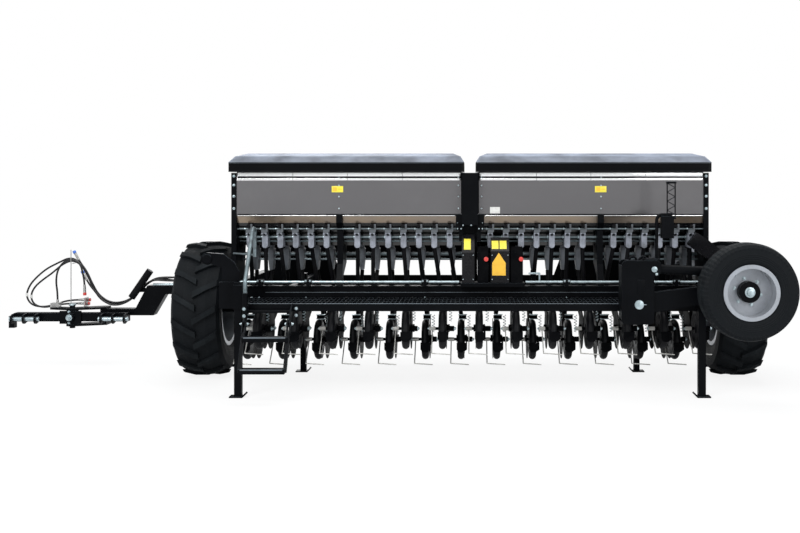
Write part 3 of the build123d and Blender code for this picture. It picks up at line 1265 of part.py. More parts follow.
def make_tool_rack():
    """Rack on the rear carrier: a bent tube, a dark holder and an upright lattice."""
    y = CARRIERS[0].back_y - CARRIER_DEPTH / 2
    wide = CARRIER_DEPTH / 2
    foot = CARRIER_Z1 + FIT
    bend = [(RACK_X, y, foot + CARRIER_T / 2), (RACK_X, y, RACK_TOP), (RACK_TIP_X, y, RACK_TOP)]
    left, right = RACK_LATTICE
    steps = 7
    rise = (LATTICE_Z1 - RACK_TOP) / steps
    with BuildPart() as rack:
        with BuildLine() as path:
            FilletPolyline(*bend, radius=RACK_BEND)
        with BuildSketch(Plane(origin=bend[0], z_dir=(0, 0, 1))):
            Circle(RACK_R)
        sweep(path=path.line)
        block(CARRIER_X1 - RACK_FOOT, CARRIER_X1 - 6, y - wide, y + wide, foot, foot + CARRIER_T)
        block(RACK_X + 35, RACK_TIP_X + 8, y - 38, y + 38, HOLDER_Z0, RACK_TOP - 10)
        block(RACK_TIP_X, right + 5, y - 8, y + 8, RACK_TOP - 34, RACK_TOP - 18)
        bar((left, y, RACK_TOP - 15), (left, y, LATTICE_Z1), 5)
        bar((right, y, RACK_TOP - 20), (right, y, LATTICE_Z1), 5)
        for n in range(steps):
            ends = (left, right) if n % 2 else (right, left)
            bar((ends[0], y, RACK_TOP + n * rise), (ends[1], y, RACK_TOP + (n + 1) * rise), 3)
        block(left - 8, right + 8, y - 10, y + 10, LATTICE_Z1 - 4, LATTICE_Z1 + 12)
    keep(rack.part, "tool_rack")


def make_side_box():
    """Tilted black box behind the right end flange of the hopper."""
    with BuildPart() as box:
        with BuildSketch(back_plane(PANEL_Y - POST_FLANGE - FIT)):
            with Locations((SIDE_BOX_X, SIDE_BOX_Z)):
                Rectangle(SIDE_BOX_L, SIDE_BOX_H, rotation=-SIDE_BOX_TILT)
        extrude(amount=SIDE_BOX_W)
        fillet(box.edges().filter_by(Axis.Y), radius=14)
    keep(box.part, "side_box")


# ------------------------------------------------------------------ hoses
def hose_radii(points):
    """As large an arc at each inner point of a route as its two runs allow."""
    radii = []
    for before, here, after in zip(points, points[1:], points[2:]):
        run_in = Vector(*here) - Vector(*before)
        run_out = Vector(*after) - Vector(*here)
        turn = radians(run_in.get_angle(run_out))
        radii.append(0.45 * min(run_in.length, run_out.length) / tan(turn / 2))
    return radii


def make_hose(name, points):
    """One hose as a tube of straight runs and tangent arcs."""
    radii = hose_radii(points)
    print(name, [round(radius) for radius in radii])
    with BuildPart() as hose:
        with BuildLine() as path:
            FilletPolyline(*points, radius=radii)
        with BuildSketch(Plane(origin=path.line @ 0, z_dir=path.line % 0)):
            Circle(HOSE_R)
        sweep(path=path.line)
    keep(hose.part, name)


def make_couplers():
    """Quick couplers on the free ends of the hoses."""
    with BuildPart() as couplers:
        for points, with_coupler in HOSES.values():
            if with_coupler:
                end = Vector(*points[-1])
                along = (end - Vector(*points[-2])).normalized()
                bar(end, end + along * COUPLER_L, COUPLER_R)
                bar(end + along * COUPLER_L, end + along * (COUPLER_L + CAP_LENGTH), CAP_RADIUS)
    keep(couplers.part, "couplers")


def make_hose_stand():
    """Block for the hoses on the beam and on the fork, and the thin rod that holds them up."""
    high = HITCH_Z + FORK_GAP / 2 + FORK_T
    with BuildPart() as stand:
        block(PORT_X, PORT_X + 80, PORT_Y0, PORT_Y1, FRONT_BEAM_Z1 + FIT, PORT_Z1)
        block(VALVE_X0, VALVE_X1, VALVE_Y0, VALVE_Y1, high + FIT, VALVE_Z1)
        bar((STAND_X, STAND_Y, high + FIT), (STAND_X, STAND_Y, STAND_TOP), STAND_R)
        bar((STAND_X, STAND_Y, HOOK_BAR_Z), (STAND_X, HOSE_Y[0] + 12, HOOK_BAR_Z), STAND_R)
        block(PARK_X, PARK_X + 8, FRONT_BEAM_Y0 - 4, HOSE_Y[0] + 14, high + FIT, PARK_Z1)
        for points, with_coupler in HOSES.values():
            if not with_coupler:
                end = Vector(*points[-1])
                bar(end, (PARK_X, end.Y, end.Z), COUPLER_R)
                bar((PARK_X, end.Y, end.Z), (PARK_X + 8 + CAP_LENGTH, end.Y, end.Z), CAP_RADIUS)
    keep(stand.part, "hose_stand")


# ------------------------------------------------------------------ build
os.makedirs("parts", exist_ok=True)
make_side_beams()
make_inner_beams()
make_front_beam()
make_rear_beam()
make_setting_shaft()
make_lock_hook()
make_footboard()
make_ladder()
make_handrail()
for hopper_side, word in ((-1, "left"), (1, "right")):
    make_hopper(hopper_side, f"hopper_{word}")
    make_lid(hopper_side, f"lid_{word}")
    make_wheel(FIELD, (hopper_side * FIELD_X, 0, AXLE_Z), (hopper_side, 0, 0),
               (f"field_tyre_{word}", f"field_rim_{word}"))
make_hopper_posts()
make_units("metering_rear", True, 0.0)
make_units("metering_front", False, FRONT_UNIT_IN)
make_shafts()
make_seed_tubes()
make_drive_boxes("drive_covers", COVERS)
make_drive_boxes("gearboxes", GEARBOXES)
make_openers()
make_legs()
make_carriers()
make_carrier_pins()
for carrier in CARRIERS:
    make_transport_arm(carrier)
    make_cylinder(carrier)
    make_wheel(ROAD, (ROAD_X, carrier.back_y + carrier.out * ROAD_OUT, ROAD_Z), (0, carrier.out, 0),
               (f"transport_tyre_{carrier.name}", f"transport_rim_{carrier.name}"))
make_drawbar()
make_hitch_bar()
make_document_tube()
for hose_name, (hose_points, _) in HOSES.items():
    make_hose(hose_name, hose_points)
make_couplers()
make_tool_rack()
make_side_box()
make_hose_stand()
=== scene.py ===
"""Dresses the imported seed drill: finishes for every node, trim pieces, hoses, studio and camera."""
from collections import namedtuple
from math import cos, pi, radians, sin

import bmesh
import bpy
from mathutils import Matrix, Vector


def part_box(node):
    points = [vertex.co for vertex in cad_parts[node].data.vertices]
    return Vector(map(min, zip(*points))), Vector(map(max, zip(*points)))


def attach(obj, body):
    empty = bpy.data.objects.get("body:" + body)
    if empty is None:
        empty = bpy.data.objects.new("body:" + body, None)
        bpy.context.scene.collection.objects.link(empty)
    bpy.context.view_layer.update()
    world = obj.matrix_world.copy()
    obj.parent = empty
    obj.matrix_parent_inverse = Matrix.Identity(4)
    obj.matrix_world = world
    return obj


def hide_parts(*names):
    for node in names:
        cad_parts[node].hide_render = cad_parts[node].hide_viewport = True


bl_info = {
    "name": "Seed drill dressing",
    "version": (1, 0, 0),
    "blender": (4, 5, 0),
    "location": "View3D > Sidebar > Seed drill",
    "description": "Finishes, trim, hoses and studio for a trailed box seed drill",
    "category": "Object",
}

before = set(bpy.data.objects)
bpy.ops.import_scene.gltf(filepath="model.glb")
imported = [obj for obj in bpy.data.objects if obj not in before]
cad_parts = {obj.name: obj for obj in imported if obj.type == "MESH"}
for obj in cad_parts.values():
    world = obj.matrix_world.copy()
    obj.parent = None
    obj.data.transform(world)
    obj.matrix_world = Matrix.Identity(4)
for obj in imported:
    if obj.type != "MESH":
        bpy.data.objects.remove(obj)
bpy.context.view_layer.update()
RIGHT, BACK, UP = Vector((1, 0, 0)), Vector((0, -1, 0)), Vector((0, 0, 1))

# ------------ places, in metres
# the machine's middle between its field wheels, in the row's frame
MIDDLE_X, MIDDLE_Y = 0.90625, 0.042
# openers: how many, and the pitch between them
ROWS, ROW_PITCH = 26, 0.150
# metering units on each side of the middle: the first one, their pitch, and a gap after so many
UNIT_FIRST, UNIT_PITCH, UNIT_GAP_AFTER = 0.171, 0.1293, 7
# wheels: places across and up of the field wheels and the road wheels, and where a valve sits
FIELD_X, AXLE_Z = 2.288, 0.5875
ROAD_X, ROAD_Z = 2.108, 0.851
VALVE_TURN = 0.9
SIDES = ((-1, "left"), (1, "right"))
# ends of the transport gear: the way out, its name and the back of its carrier
ENDS = ((-1, "rear", -0.984), (1, "front", 0.900))
# a road wheel's middle and a carrier's face, measured outwards from the carrier's back
ROAD_OUT = 0.286
CARRIER_DEPTH = 0.166
# pins of a carrier: across, up and radius
CARRIER_PINS = ((1.304, 0.738, 0.030), (1.421, 1.011, 0.0205))
# middle of the hitch bar, the way out to its link pins and half a pin's length
HITCH_X = -3.725
LINK_OUT, LINK_HALF = 0.4125, 0.130
# faces that trim sits on: the hoppers' back sheets and the drive covers
SHEET_Y = -0.470
COVER_Y = -0.590
# disc and press wheel places of the rear and the front openers: first row, disc y z, wheel y z
OPENER_ROWS = {
    "rear": (1, -0.265, 0.443, -0.620, 0.485),
    "front": (0, -0.005, 0.319, -0.360, 0.361),
}
# step plates of the depth setting, above a press wheel's axle
STEP_LOW, STEP_HIGH = 0.170, 0.205

# hoses: their lane, the cap on a loose end, and places across and up
HOSES = {
    "outer": (0.745, None, [
        (-2.230, .790), (-2.440, .790), (-2.650, .780), (-2.850, .796), (-3.010, .785),
        (-3.120, .680), (-3.230, .580), (-3.380, .534), (-3.520, .596), (-3.590, .710),
        (-3.640, .830), (-3.700, .935), (-3.800, .985), (-3.915, .930), (-4.020, .878),
        (-4.115, .800), (-4.190, .715), (-4.222, .615), (-4.175, .533), (-4.075, .508),
        (-3.945, .530), (-3.818, .578), (-3.690, .578)]),
    "inner": (0.723, None, [
        (-2.230, .758), (-2.440, .758), (-2.650, .750), (-2.850, .772), (-3.017, .780),
        (-3.124, .676), (-3.230, .566), (-3.370, .520), (-3.500, .575), (-3.575, .690),
        (-3.628, .812), (-3.688, .915), (-3.772, .958), (-3.868, .918), (-3.958, .838),
        (-4.055, .770), (-4.135, .700), (-4.172, .610), (-4.132, .530), (-4.035, .506),
        (-3.920, .532), (-3.807, .546), (-3.692, .546)]),
    "top": (0.701, "blue", [
        (-2.230, .790), (-2.440, .790), (-2.650, .800), (-2.850, .794), (-3.012, .774),
        (-3.118, .670), (-3.235, .572), (-3.390, .548), (-3.510, .622), (-3.575, .735),
        (-3.625, .850), (-3.685, .930), (-3.716, .985)]),
    "short": (0.679, "blue", [
        (-2.230, .758), (-2.440, .758), (-2.650, .766), (-2.850, .764), (-3.016, .778),
        (-3.130, .666), (-3.232, .562), (-3.375, .526), (-3.480, .584), (-3.545, .668),
        (-3.600, .735), (-3.632, .795)]),
    "loop": (0.655, "red", [
        (-3.886, .560), (-3.886, .650), (-3.902, .755), (-3.890, .860), (-3.835, .945),
        (-3.750, .975), (-3.672, .930), (-3.648, .835), (-3.634, .760), (-3.632, .700)]),
}

# radii of tyre, tread foot and hub, then the disc's place, nuts and their circle, cap's place and radius
WheelKind = namedtuple("WheelKind", "outer tread hub disc studs circle cap_at cap_r")
WHEEL_KINDS = {
    "field": WheelKind(0.5875, 0.558, 0.097, 0.040, 8, 0.1375, 0.090, 0.060),
    "road": WheelKind(0.375, 0.350, 0.082, -0.010, 6, 0.1025, 0.062, 0.040),
}


def place(x, y, z):
    """A point of the machine, in the row's frame."""
    return Vector((x + MIDDLE_X, y + MIDDLE_Y, z))


def row_places(first):
    """X of every opener of one row."""
    return [(n - (ROWS - 1) / 2) * ROW_PITCH for n in range(first, ROWS, 2)]


def unit_places():
    """X of every metering unit of the rear row."""
    steps = [n + (1 if n >= UNIT_GAP_AFTER else 0) for n in range(ROWS // 2)]
    return [side * (UNIT_FIRST + step * UNIT_PITCH) for side in (-1, 1) for step in steps]


def wheels():
    """Every wheel: its kind, its name, its body, its middle and the way its outer face looks."""
    for side, word in SIDES:
        yield "field", word, f"wheel_{word}", place(side * FIELD_X, 0, AXLE_Z), Vector((side, 0, 0))
    for out, word, back in ENDS:
        middle = place(ROAD_X, back + out * ROAD_OUT, ROAD_Z)
        yield "road", word, f"road_wheel_{word}", middle, Vector((0, out, 0))


# ------------ settings
def colour_setting(name, about, default):
    """A colour that a user may change."""
    return bpy.props.FloatVectorProperty(name=name, description=about, default=(*default, 1.0), size=4,
                                         min=0.0, max=1.0, subtype="COLOR")


def length_setting(name, about, default):
    """A length that a user may change."""
    return bpy.props.FloatProperty(name=name, description=about, default=default, min=0.0005, max=60.0,
                                   unit="LENGTH", precision=4)


class DrillColours(bpy.types.PropertyGroup):
    """Colours of the drill's finishes."""

    paint: colour_setting("Frame paint", "Near-black coat of the frame", (0.0016, 0.0019, 0.0026))
    paint_worn: colour_setting("Worn paint", "Frame paint where it is rubbed", (0.0026, 0.0031, 0.0040))
    zinc: colour_setting("Zinc", "Plated bolts and rods", (0.42, 0.50, 0.53))
    zinc_dull: colour_setting("Dull zinc", "Plating that has weathered", (0.185, 0.235, 0.255))
    panel: colour_setting("Hopper sheet", "Polished dark sheet of the hoppers", (0.136, 0.133, 0.138))
    # painted reflection: the ground's warm colour, laid in a band on the sheet's rear slope
    panel_stain: colour_setting("Sheet ground reflection", "Painted warm reflection of the ground on the hopper sheet", (0.225, 0.175, 0.128))
    lid: colour_setting("Lid", "Gloss moulding of the lids", (0.0016, 0.0019, 0.0026))
    lid_sheen: colour_setting("Lid sheen", "Sky light on the lids at a flat angle", (0.235, 0.265, 0.325))
    unit: colour_setting("Metering casting", "Pale castings of the metering units", (0.265, 0.285, 0.335))
    unit_dull: colour_setting("Dull casting", "Metering castings in dust", (0.070, 0.078, 0.088))
    # painted highlight: the light colour of upper edges and of thin highlight lines
    edge: colour_setting("Rubbed edges", "Painted highlights on the upper edges of the frame paint", (0.100, 0.120, 0.138))
    plastic: colour_setting("Black plastic", "Covers and seed tubes", (0.0022, 0.0024, 0.0032))
    disc: colour_setting("Disc steel", "Disc faces with a film of soil", (0.0040, 0.0042, 0.0046))
    rubber: colour_setting("Rubber", "Tyres and press wheels", (0.0024, 0.0034, 0.0046))
    lug_dust: colour_setting("Lug dust", "Dry soil on the lug faces", (0.0066, 0.0088, 0.0104))
    dust: colour_setting("Dust", "Thin dust on upward faces", (0.085, 0.078, 0.068))
    rim: colour_setting("Rim silver", "Silver paint of the rims", (0.275, 0.297, 0.330))
    yellow: colour_setting("Label yellow", "Plain yellow labels", (0.75, 0.66, 0.045))
    orange: colour_setting("Label orange", "Plain orange label", (0.80, 0.46, 0.03))
    red: colour_setting("Cap red", "Red knobs and caps", (0.62, 0.045, 0.035))
    blue: colour_setting("Cap blue", "Blue caps of the quick couplers", (0.03, 0.13, 0.52))


class DrillSizes(bpy.types.PropertyGroup):
    """Sizes of the drill's trim and of its studio."""

    rivet: length_setting("Rivet radius", "Domed rivets of the hoppers", 0.0075)
    bolt: length_setting("Bolt radius", "Hexagon heads on the frame", 0.012)
    knob: length_setting("Gate knob radius", "Black knobs of the metering gates", 0.017)
    hose: length_setting("Hose radius", "Hydraulic hoses", 0.0085)
    floor: length_setting("Floor size", "Side of the studio floor", 60.0)
    lens: bpy.props.FloatProperty(name="Lens", description="Focal length of the camera", default=47.25,
                                  min=10.0, max=200.0, unit="CAMERA")


# ------------ nodes
def empty_tree(owner):
    """The cleared node tree of a new material or world."""
    owner.use_nodes = True
    owner.node_tree.nodes.clear()
    return owner.node_tree


def add_node(tree, kind, inputs=None, **settings):
    """A shader node with its settings made and its inputs linked or set, by name or place."""
    made = tree.nodes.new("ShaderNode" + kind)
    for name, value in settings.items():
        setattr(made, name, value)
    for socket, value in (inputs or {}).items():
        if isinstance(value, bpy.types.NodeSocket):
            tree.links.new(value, made.inputs[socket])
        else:
            made.inputs[socket].default_value = value
    return made


def noise(tree, vector, scale, detail=4.0):
    """A noise texture; scale may be a socket."""
    return add_node(tree, "TexNoise", {"Vector": vector, "Scale": scale, "Detail": detail,
                                       "Roughness": 0.6}).outputs["Fac"]


def spread(tree, value, low, high, to_low=0.0, to_high=1.0):
    """A value stretched from one range to another, held at its ends."""
    return add_node(tree, "MapRange", {"Value": value, "From Min": low, "From Max": high,
                                       "To Min": to_low, "To Max": to_high}).outputs["Result"]


def maths(tree, operation, first, second=0.0):
    """One sum of two numbers or sockets."""
    return add_node(tree, "Math", {0: first, 1: second}, operation=operation).outputs[0]


def product(tree, first, *others):
    """Numbers or sockets multiplied together."""
    for other in others:
        first = maths(tree, "MULTIPLY", first, other)
    return first


def axes(tree, vector):
    """The three numbers of a vector."""
    return add_node(tree, "SeparateXYZ", {0: vector}).outputs


def reach_of(tree, vector):
    """The length of a vector."""
    return add_node(tree, "VectorMath", {0: vector}, operation="LENGTH").outputs["Value"]


def face_way(tree):
    """The way a face looks."""
    return add_node(tree, "NewGeometry").outputs["Normal"]


def mix(tree, mask, first, second):
    """Two colours mixed by a mask; each may be a colour or a socket."""
    made = add_node(tree, "Mix", {"Factor": mask}, data_type="RGBA")
    for socket, value in zip([s for s in made.inputs if s.type == "RGBA"], (first, second)):
        if isinstance(value, bpy.types.NodeSocket):
            tree.links.new(value, socket)
        else:
            socket.default_value = value
    return next(s for s in made.outputs if s.type == "RGBA")


# ------------ node groups
def settled_dust(group, inside):
    """Thin dust that lies on faces that look up, broken by noise."""
    up = spread(group, axes(group, face_way(group))["Z"], -0.4, 1.0, 0.12, 1.0)
    cloud = spread(group, noise(group, inside["Vector"], inside["Scale"], 6.0), 0.38, 0.66)
    return {"Mask": product(group, up, cloud, inside["Amount"])}


def rubbed_wear(group, inside):
    """Broad rubbed patches with fine scratches inside them."""
    broad = spread(group, noise(group, inside["Vector"], inside["Scale"], 3.0), 0.35, 0.70)
    fine = noise(group, inside["Vector"], product(group, inside["Scale"], 14.0), 2.0)
    return {"Mask": product(group, broad, spread(group, fine, 0.35, 0.65, 0.55, 1.0))}


def fine_grain(group, inside):
    """Fine height for orange peel, castings, rubber and brushed sheet; Stretch draws it out."""
    part = axes(group, inside["Vector"])
    drawn = add_node(group, "CombineXYZ", {"X": product(group, part["X"], inside["Stretch"]),
                                           "Y": part["Y"], "Z": part["Z"]}).outputs[0]
    return {"Height": noise(group, drawn, inside["Scale"], 5.0)}


def wheel_place(group, inside):
    """Distance from a wheel's axle and ribs round it, from a point centred on the axle."""
    part = axes(group, inside["Vector"])
    turn = maths(group, "ARCTAN2", maths(group, "ADD", part["X"], part["Y"]), part["Z"])
    wave = maths(group, "SINE", product(group, turn, 64.0))
    return {"Radius": reach_of(group, inside["Vector"]), "Ribs": spread(group, wave, -0.3, 0.3)}


def rubbed_edges(group, inside):
    """Painted highlight on edges that look up, broken by noise."""
    rounded = add_node(group, "Bevel", {"Radius": inside["Width"]}, samples=4).outputs["Normal"]
    turned = add_node(group, "VectorMath", {0: rounded, 1: face_way(group)}, operation="DOT_PRODUCT")
    # painted highlight: rounded edges, kept only where they look up
    edge = spread(group, turned.outputs["Value"], 0.985, 0.80)
    up = spread(group, axes(group, rounded)["Z"], 0.15, 0.6)
    patchy = spread(group, noise(group, inside["Vector"], 9.0, 3.0), 0.30, 0.62, 0.25, 1.0)
    return {"Mask": product(group, edge, up, patchy)}


# numbers that each shared group takes
GROUP_NUMBERS = {
    settled_dust: {"Scale": 6.0, "Amount": 0.5},
    rubbed_wear: {"Scale": 4.0},
    fine_grain: {"Scale": 150.0, "Stretch": 1.0},
    wheel_place: {},
    rubbed_edges: {"Width": 0.003},
}


def make_group(maker):
    """A shared shader group: a vector and its numbers in, its maker's results out."""
    group = bpy.data.node_groups.new(maker.__name__, "ShaderNodeTree")

    def add_socket(name, way, kind):
        return group.interface.new_socket(name=name, in_out=way, socket_type="NodeSocket" + kind)

    add_socket("Vector", "INPUT", "Vector")
    for name, default in GROUP_NUMBERS[maker].items():
        add_socket(name, "INPUT", "Float").default_value = default
    results = maker(group, group.nodes.new("NodeGroupInput").outputs)
    for name in results:
        add_socket(name, "OUTPUT", "Float")
    outside = group.nodes.new("NodeGroupOutput").inputs
    for name, value in results.items():
        group.links.new(value, outside[name])
    return group


def group_node(tree, maker, vector, **values):
    """The outputs of a shared group in a material, with its own values."""
    group = bpy.data.node_groups.get(maker.__name__) or make_group(maker)
    return add_node(tree, "Group", {"Vector": vector, **values}, node_tree=group).outputs


# ------------ finishes
def tint(colour):
    """A colour with its alpha, from a setting's name or from three numbers."""
    if isinstance(colour, str):
        return tuple(getattr(bpy.context.scene.drill_colours, colour))
    return (*colour, 1.0)


def surface(name, base, worn, rough=(0.4, 0.6), metallic=0.0, specular=0.5, coat=0.0,
            wear=4.0, dust=(6.0, 0.4), grain=(150.0, 0.1), stretch=1.0):
    """A finish with rubbed patches, dust by scale and amount, and fine grain by scale and depth."""
    material = bpy.data.materials.new(name)
    tree = empty_tree(material)
    where = add_node(tree, "TexCoord").outputs["Object"]
    rubbed = group_node(tree, rubbed_wear, where, Scale=wear)["Mask"]
    film = group_node(tree, settled_dust, where, Scale=dust[0], Amount=dust[1])["Mask"]
    height = group_node(tree, fine_grain, where, Scale=grain[0], Stretch=stretch)["Height"]
    bump = add_node(tree, "Bump", {"Strength": grain[1], "Distance": 0.001, "Height": height})
    shader = add_node(tree, "BsdfPrincipled", {
        "Base Color": mix(tree, film, mix(tree, rubbed, tint(base), tint(worn)), tint("dust")),
        "Roughness": spread(tree, maths(tree, "MAXIMUM", rubbed, film), 0.0, 1.0, *rough),
        "Normal": bump.outputs[0], "Metallic": metallic, "Specular IOR Level": specular,
        "Coat Weight": coat, "Coat Roughness": 0.12})
    add_node(tree, "OutputMaterial", {0: shader.outputs[0]})
    return material


def parts_of(material):
    """A finish's tree, its shader's inputs and its object coordinates."""
    tree = material.node_tree
    found = {node.type: node for node in tree.nodes}
    return tree, found["BSDF_PRINCIPLED"].inputs, found["TEX_COORD"].outputs["Object"]


def lay_over(tree, inputs, mask, colour):
    """A colour laid over a finish where a mask says so."""
    base = inputs["Base Color"]
    tree.links.new(mix(tree, mask, base.links[0].from_socket, tint(colour)), base)


def vary(tree, inputs, mask, ranges):
    """Shader numbers that go from one value to another with a mask."""
    for name, (low, high) in ranges.items():
        tree.links.new(spread(tree, mask, 0.0, 1.0, low, high), inputs[name])


def wheel_spot(tree, where, centre, out):
    """Radius and ribs of a wheel, from coordinates centred on its axle and flattened along it."""
    flat = Vector([1.0 - abs(part) for part in out])
    centred = add_node(tree, "Mapping", {"Vector": where, "Scale": flat,
                                         "Location": Vector([-c * f for c, f in zip(centre, flat)])})
    return group_node(tree, wheel_place, centred.outputs[0])


def tyre_surface(name, kind, centre, out):
    """Rubber with soil on the faces of its lugs, moulded rings and, on a road tyre, fine ribs."""
    material = surface(name, "rubber", (0.0040, 0.0054, 0.0066), (0.62, 0.85), specular=0.10, wear=5.0,
                       dust=(9.0, 0.02), grain=(240.0, 0.25))
    tree, inputs, where = parts_of(material)
    outer, tread = WHEEL_KINDS[kind][:2]
    spot = wheel_spot(tree, where, centre, out)
    crown = spread(tree, spot["Radius"], tread, tread + (outer - tread) * 0.8)
    patches = spread(tree, noise(tree, where, 7.0, 5.0), 0.40, 0.62)
    lay_over(tree, inputs, product(tree, crown, patches), "lug_dust")
    rings = maths(tree, "SINE", product(tree, spot["Radius"], 420.0))
    band = product(tree, spread(tree, spot["Radius"], outer * 0.62, outer * 0.66),
                   spread(tree, spot["Radius"], outer * 0.80, outer * 0.76))
    height = product(tree, rings, band, 0.6)
    if kind == "road":
        shoulder = spread(tree, spot["Radius"], outer * 0.86, outer * 0.90)
        height = maths(tree, "ADD", height, product(tree, shoulder, spot["Ribs"], 2.2))
    bump = next(node for node in tree.nodes if node.type == "BUMP").inputs
    grain = product(tree, bump["Height"].links[0].from_socket, 0.25)
    tree.links.new(maths(tree, "ADD", height, grain), bump["Height"])
    bump["Strength"].default_value = 0.55
    bump["Distance"].default_value = 0.004
    return material


def rim_surface(name, kind, centre, out):
    """Silver rim paint with a black hub in its middle."""
    material = surface(name, "rim", (0.22, 0.23, 0.25), (0.30, 0.5), metallic=0.35, coat=0.25, wear=6.0,
                       dust=(6.0, 0.18), grain=(300.0, 0.05))
    tree, inputs, where = parts_of(material)
    hub = WHEEL_KINDS[kind].hub
    inside = spread(tree, wheel_spot(tree, where, centre, out)["Radius"], hub, hub - 0.001)
    lay_over(tree, inputs, inside, "paint")
    vary(tree, inputs, inside, {"Metallic": (0.35, 0.0), "Coat Weight": (0.25, 0.0),
                                "Specular IOR Level": (0.5, 0.05)})
    return material


def paint_surface():
    """Near-black frame paint with painted highlights on its upper edges."""
    material = surface("frame_paint", "paint", "paint_worn", (0.34, 0.55), specular=0.04, dust=(6.0, 0.004),
                       grain=(420.0, 0.06))
    tree, inputs, where = parts_of(material)
    # painted highlight laid on edges that look up
    lay_over(tree, inputs, group_node(tree, rubbed_edges, where, Width=0.0035)["Mask"], "edge")
    return material


def lid_surface():
    """Gloss black moulding, with a cloudy sheen on its slopes where they are seen at a flat angle."""
    material = surface("lid_gloss", "lid", (0.0030, 0.0030, 0.0036), (0.16, 0.24), specular=0.06, wear=1.2,
                       dust=(2.0, 0.015), grain=(60.0, 0.01))
    tree, inputs, where = parts_of(material)
    facing = add_node(tree, "LayerWeight").outputs["Facing"]
    flat = product(tree, spread(tree, axes(tree, face_way(tree))["Z"], 0.12, 0.35),
                   spread(tree, facing, 0.45, 0.68))
    cloud = spread(tree, noise(tree, where, 3.2, 6.0), 0.36, 0.62, 0.45, 1.0)
    lay_over(tree, inputs, product(tree, flat, cloud), "lid_sheen")
    vary(tree, inputs, flat, {"Roughness": (0.16, 0.6)})
    return material


def unit_surface():
    """Pale metering castings, darker on the brackets above them."""
    material = surface("unit_casting", "unit", "unit_dull", (0.42, 0.65), metallic=0.25, wear=11.0,
                       dust=(16.0, 0.35), grain=(380.0, 0.2))
    tree, inputs, where = parts_of(material)
    lay_over(tree, inputs, spread(tree, axes(tree, where)["Z"], 1.260, 1.264), "unit_dull")
    return material


def panel_surface():
    """Polished dark sheet, brushed along, with a painted warm reflection of the ground in a band on its rear
    slope below.
    """
    material = surface("hopper_sheet", "panel", (0.150, 0.147, 0.152), (0.15, 0.22), metallic=0.65, wear=1.6,
                       dust=(3.0, 0.05), grain=(260.0, 0.03), stretch=0.04)
    tree, inputs, where = parts_of(material)
    part = axes(tree, where)
    rear = spread(tree, part["Y"], -0.300, -0.310)
    # film: the band that holds the painted ground reflection
    film = spread(tree, part["Z"], 1.404, 1.401)
    patchy = spread(tree, noise(tree, where, 2.2, 3.0), 0.30, 0.60, 0.55, 1.0)
    below = spread(tree, part["Z"], 1.349, 1.345)
    # painted reflection of the ground, patchy, on faces towards the back
    lay_over(tree, inputs, product(tree, film, patchy, rear), "panel_stain")
    lay_over(tree, inputs, below, "paint")
    vary(tree, inputs, below, {"Metallic": (0.65, 0.0)})
    return material


